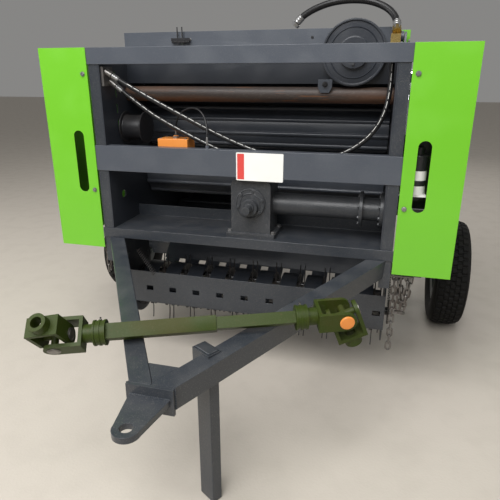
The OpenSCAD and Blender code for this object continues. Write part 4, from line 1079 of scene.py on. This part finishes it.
# %% [markdown]
# ## Cups, snap rings and collars
# Each joint has four cups: two in the ears of the yoke on the tube and two in the folded outer yoke. A cup
# is a turned cap with a chamfer and lies inside a snap ring. The collars have three raised bands and a
# grease nipple. Cylinders with a bevel would come close, but a turned profile gives the chamfer and the
# nipple's neck at once, so each part is one short profile.

# %% Cups, snap rings and collars
def upright(profile, steps, closed=False):
    """A profile turned about the local third axis."""
    return lathe(profile, (0, 0, 0), (0, 0, 1), steps, closed)


cup = upright([(0, 0), (0.0175, 0), (0.0175, 0.0022), (0.0150, 0.0040), (0, 0.0040)], 32)
snap_ring = upright([(0.0185, 0), (0.0215, 0), (0.0215, 0.0022), (0.0185, 0.0022)], 32, closed=True)
nipple = upright([(0, 0), (0.0045, 0), (0.0045, 0.004), (0.0025, 0.006), (0.0035, 0.010), (0, 0.011)], 10)
amber_cup = upright([(0, 0), (0.0245, 0), (0.0245, 0.0025), (0.0215, 0.0052), (0, 0.0060)], 40)
collar_band = [(0.0395, -0.003), (0.0425, -0.003), (0.0425, 0.003), (0.0395, 0.003)]
# One row a joint: its place along the shaft, its half turn, roll and fold, its collar's start, its amber ear
SHAFT_JOINTS = [(YOKE_REACH, 180, 57, 80, YOKE_REACH, None),
                (SHAFT_LENGTH - YOKE_REACH, 0, -90, 70, SHAFT_LENGTH - YOKE_REACH - COLLAR_LENGTH, -1)]
shaft_metal, shaft_amber, collar_parts = [], [], []
for x, flip, roll, fold, collar_x, amber_ear in SHAFT_JOINTS:
    joint = SHAFT_BASE @ moved(x, 0, 0) @ turned(flip, "Z") @ turned(roll, "X") @ moved(YOKE_REACH, 0, 0)
    for ear in (-1, 1):
        face = joint @ turned(0 if ear > 0 else 180, "X") @ moved(0, 0, EAR_OUT)
        if ear == amber_ear:
            shaft_amber.append(placed(amber_cup, face))
        else:
            shaft_metal += [placed(cup, face), placed(snap_ring, face)]
        outer = joint @ turned(fold, "Z") @ turned(-90 * ear, "X") @ moved(0, 0, EAR_OUT)
        shaft_metal += [placed(cup, outer), placed(snap_ring, outer)]
    for dx in BANDS_AT:
        band = lathe(collar_band, (collar_x + dx, 0, 0), (1, 0, 0), 48, closed=True)
        collar_parts.append(placed(band, SHAFT_BASE))
    grease_point = SHAFT_BASE @ moved(collar_x + COLLAR_LENGTH / 2, 0, 0) @ turned(NIPPLE_TURN, "X")
    shaft_metal.append(placed(nipple, grease_point @ moved(0, 0, COLLAR_R)))
finished("shaft_cups", *joined(shaft_metal), STEEL, BODY_OF["pto_shaft"], "olive_paint")
finished("shaft_amber_cup", *joined(shaft_amber), AMBER, BODY_OF["pto_shaft"], "amber_plastic")
finished("shaft_collar_bands", *joined(collar_parts), OLIVE, BODY_OF["pto_shaft"], "olive_paint")
print("cups and rings:", len(shaft_metal), "bands:", len(collar_parts))

# %% [markdown]
# ## Small pieces on the beams and the net box
# A white plate with a red band is on the mid beam, the rusty tube hangs in a small bracket, and the net box
# has a latch with two pins. A plate could be painted on as a colour, but its edge has a shadow of its own,
# so each is a thin slab or a few short rods.

# %% Sign, bracket and latch
FLAT_FRONT = [[1, 0, 0], [0, 0, 1], [0, -1, 0]]
plate = slab(rounded(0.203, 0.118, 0.004), at_front(97.5, 0, 1051), FLAT_FRONT, 0.0008)
finished("sign_plate", *plate, WHITE, "chassis", "white_plastic")
stripe = slab(rounded(0.030, 0.108, 0.002), at_front(16, -0.8, 1051), FLAT_FRONT, 0.0003)
finished("sign_stripe", *stripe, RED, "chassis", "white_plastic")

bracket_outline = [(-0.030, 0.030), (0.030, 0.030), (0.030, -0.002), (0.018, -0.024), (-0.018, -0.024),
                   (-0.030, -0.002)]
bracket = slab(bracket_outline, at_front(330, 212, 1368), FLAT_FRONT, 0.006)
finished("tube_bracket", *bracket, PAINT, "chassis", "dark_paint", bevel=0.001)
bolts("tube_bracket_bolt", [at_front(330, 206, 1378)], (0, -1, 0), 0.010, "chassis", BLACK)

latch = [slab(rounded(0.090, 0.006, 0.002), at_front(-330, 236, 1560), np.eye(3), 0.012),
         rod(at_front(-345, 238, 1545), at_front(-345, 238, 1618), 0.003, 10),
         rod(at_front(-322, 238, 1545), at_front(-322, 238, 1618), 0.003, 10),
         rod(at_front(-372, 238, 1556), at_front(-288, 238, 1556), 0.005, 10)]
finished("net_latch", *joined(latch), BLACK, "chassis", "black_paint")
latch_bolts = at_front((-372, 250, 1566), (-290, 250, 1566))
bolts("net_latch_bolts", latch_bolts, (0, -1, 0), 0.006, "chassis")
bolts("net_box_plug", [at_front(262, 250, 1566)], (0, -1, 0), 0.005, "chassis", BLACK)
print("sign plate, tube bracket and net latch made")

# %% [markdown]
# ## The bottle behind the right guard's slot
# The bottle stands before a dark plate, which paints in the shade behind the slot, and has two dark bands
# and a screw cap, which is what shows through the slot. The bands could be a colour that changes with
# height, but they stand a little proud of the bottle and throw a thin shadow. So the bottle is the solid
# model's, and the bands and the cap are turned here.

# %% Bottle
BOTTLE_X, BOTTLE_Y = 731, 62
# The dark plate behind the bottle is painted shade: it darkens the slot's background.
shade_plate = slab(rounded(0.132, 0.300, 0.008), at_front(732, 108, 1040), FLAT_FRONT, 0.004)
finished("bottle_shade_plate", *shade_plate, BLACK, "chassis", "black_paint", bevel=0.0008)
bottle_bands = []
for low, high in ((1000, 1022), (1060, 1117)):
    band_profile = [(0.0362, 0), (0.0375, 0.001), (0.0375, (high - low - 1) / 1000),
                    (0.0362, (high - low) / 1000)]
    bottle_bands.append(lathe(band_profile, at_front(BOTTLE_X, BOTTLE_Y, low), (0, 0, 1), 40, closed=True))
cap_profile = [(0, 0), (0.037, 0), (0.034, 0.004), (0.0195, 0.006), (0.0195, 0.032), (0, 0.034)]
bottle_bands.append(lathe(cap_profile, at_front(BOTTLE_X, BOTTLE_Y, 1114.5), (0, 0, 1), 40))
finished("bottle_bands", *joined(bottle_bands), BLACK, "chassis", "black_paint")
print("bottle bands and cap:", len(bottle_bands))

# %% [markdown]
# ## The disc, the gearbox and the control box
# The disc on the net box has three bolts and a raised ring, the gearbox's cover has two cast rings, and the
# control box has four screws and the gland that its cable leaves by. The rings could be a bump in the
# paint, but they catch the light from the side, so each is a shallow ridge that is turned about the axis of
# the piece it sits on.

# %% Disc, gearbox and control box
def ridge(radius, half_width, rise, fall):
    """A closed section for a ring: a low ridge that stands on its face and is sunk a little into it."""
    return [(radius - half_width, 0), (radius, rise), (radius + half_width, 0), (radius, -fall)]


DISC = np.array([0.441, at_front(0, 208, 0)[1], JOINT_AT[BODY_OF["twine_disc"]][2]])
bolts("disc_bolts", around(DISC, 0.042, 3, (0, -1, 0), 0.5), (0, -1, 0), 0.008, BODY_OF["twine_disc"], CAST)
disc_ring = lathe(ridge(0.099, 0.003, 0.003, 0.003), DISC + [0, 0.016, 0], (0, -1, 0), 72, closed=True)
# The ring takes the inner paint, with painted shade.
finished("disc_ring", *disc_ring, SHADED_INNER_PAINT, BODY_OF["twine_disc"], "dark_paint")

cover_rings = [lathe(ridge(radius, 0.003, 0.0025, 0.001), COVER, (0, -1, 0), 60, closed=True)
               for radius in (0.045, 0.063)]
finished("gear_cover_rings", *joined(cover_rings), CAST, "chassis", "dark_paint")

screws = at_front(*[(x, y, 1148) for x in (-376, -258) for y in (72, 138)])
bolts("control_box_screws", screws, (0, 0, 1), 0.0045, "chassis")
gland_profile = [(0.013, 0), (0.016, 0), (0.016, 0.008), (0.013, 0.010)]
gland = lathe(gland_profile, at_front(-317, 105, 1148), (0, 0, 1), 6, closed=True)
finished("control_box_gland", *gland, PLATED, "chassis", "steel")
print("rings, screws and gland made")

# %% [markdown]
# ## Welds and the relief spring
# Weld beads join the hitch plate to the nose of the drawbar, and a coil spring relieves the pickup of its
# weight. A plain bar would look like a wire laid in the corner, so a bead's radius swells and narrows in
# even steps, as the welder's hand leaves it. The spring is a helix about a slanted line, with a circle
# carried along it.

# %% Welds and spring
BEAD_R = 0.0035
BEAD_STEP = 0.006
BEAD_SWELL = 0.22
NOSE_FACE = FRONT - 0.912
PLATE_FACES = (0.517, 0.537)
COIL_TURNS = 14
COIL_R = 0.012
COIL_WIRE_R = 0.0022
SPRING_TOP = at_front(-560, 120, 590)
SPRING_FOOT = at_front(-470, 104, 470)


def bead(start, end):
    """A weld: a bar whose radius swells and narrows once for each step along it."""
    length = np.linalg.norm(np.subtract(end, start))
    run = np.linspace(0, 1, max(int(length / BEAD_STEP * 6), 12))[:, None]
    line = np.asarray(start) * (1 - run) + np.asarray(end) * run
    swell = BEAD_R * (1 + BEAD_SWELL * np.sin(run[:, 0] * length / BEAD_STEP * 2 * np.pi))
    return tube(line, swell, 8, across=(0.1, 0.2, 1))


welds = [bead((-0.064, NOSE_FACE, z), (0.064, NOSE_FACE, z)) for z in PLATE_FACES]
welds += [bead((x, FRONT - 0.899, 0.500), (x, FRONT - 0.899, 0.566)) for x in (-0.076, 0.076)]
# The welds take the drawbar paint, with painted shade.
finished("hitch_welds", *joined(welds), SHADED_LOWER_PAINT, "chassis", "dark_paint")

spring_turns = np.linspace(0, COIL_TURNS * 2 * np.pi, 170)
spring_run = (spring_turns / spring_turns[-1])[:, None]
spring_axes = axes_along(SPRING_FOOT - SPRING_TOP, (0, 1, 0))
coil = np.cos(spring_turns)[:, None] * spring_axes[0] + np.sin(spring_turns)[:, None] * spring_axes[1]
spring_line = SPRING_TOP * (1 - spring_run) + SPRING_FOOT * spring_run + COIL_R * coil
finished("relief_spring", *tube(spring_line, COIL_WIRE_R, 6, across=spring_axes[2]), SPRING, "chassis",
         "steel")
print("welds:", len(welds), "and a spring of", COIL_TURNS, "turns")

# %% [markdown]
# ## The floor
# The machine stands on a workshop floor of pale concrete. A small plane would catch the shadow as well, but
# its edge would show, so the plane is large. Its colour has soft blotches and a faint grain.

# %% Floor
FLOOR_HALF = 30
floor_corners = [[[x, y, 0.0] for y in (-FLOOR_HALF, FLOOR_HALF)] for x in (-FLOOR_HALF, FLOOR_HALF)]
floor_points, floor_faces = grid(np.array(floor_corners, float))
floor_mesh = bpy.data.meshes.new("floor")
floor_mesh.from_pydata(floor_points.tolist(), [], floor_faces)
floor_piece = bpy.data.objects.new("floor", floor_mesh)
bpy.context.scene.collection.objects.link(floor_piece)
CONCRETE = finish("concrete", (0.56, 0.51, 0.445), (0.49, 0.445, 0.385), 0.35, 0.0, 0.0, 90.0, 0.001, 0.6)
floor_mesh.materials.append(CONCRETE)
print("floor is", 2 * FLOOR_HALF, "m wide")

# %% [markdown]
# ## The light
# The light is soft, as from high windows: one wide lamp above and ahead of the machine, a weaker one at
# each side and behind, and an even grey world. A sun would draw hard shadows that the picture doesn't have,
# so all of the lamps are large squares.

# %% Light
def lamp(name, size, energy, place, aim):
    """A square area lamp of that size, turned so that it looks at a point."""
    data = bpy.data.lights.new(name, "AREA")
    data.size = size
    data.energy = energy
    light = bpy.data.objects.new(name, data)
    light.location = place
    direction = np.array(aim, float) - np.array(place, float)
    light.rotation_euler = (math.acos(-direction[2] / np.linalg.norm(direction)), 0,
                            math.atan2(direction[0], -direction[1]) + math.pi)
    bpy.context.scene.collection.objects.link(light)


lamp("front lamp", 4.0, 380, (-0.6, FRONT - 3.2, 4.6), (0, FRONT, 0.7))
lamp("left lamp", 3.0, 85, (-5.0, FRONT - 1.0, 2.4), (0, 0.2, 0.8))
lamp("right lamp", 3.0, 30, (5.0, FRONT - 1.0, 2.6), (0, 0.2, 0.8))
lamp("rear lamp", 4.0, 50, (0.5, 5.5, 4.0), (0, 1.0, 0.9))
world = bpy.data.worlds.new("world")
world.use_nodes = True
background = world.node_tree.nodes["Background"]
background.inputs["Color"].default_value = (0.80, 0.79, 0.77, 1)
background.inputs["Strength"].default_value = 0.30
bpy.context.scene.world = world
bpy.context.scene.view_settings.view_transform = "Standard"
print("lamps:", len(bpy.data.lights))
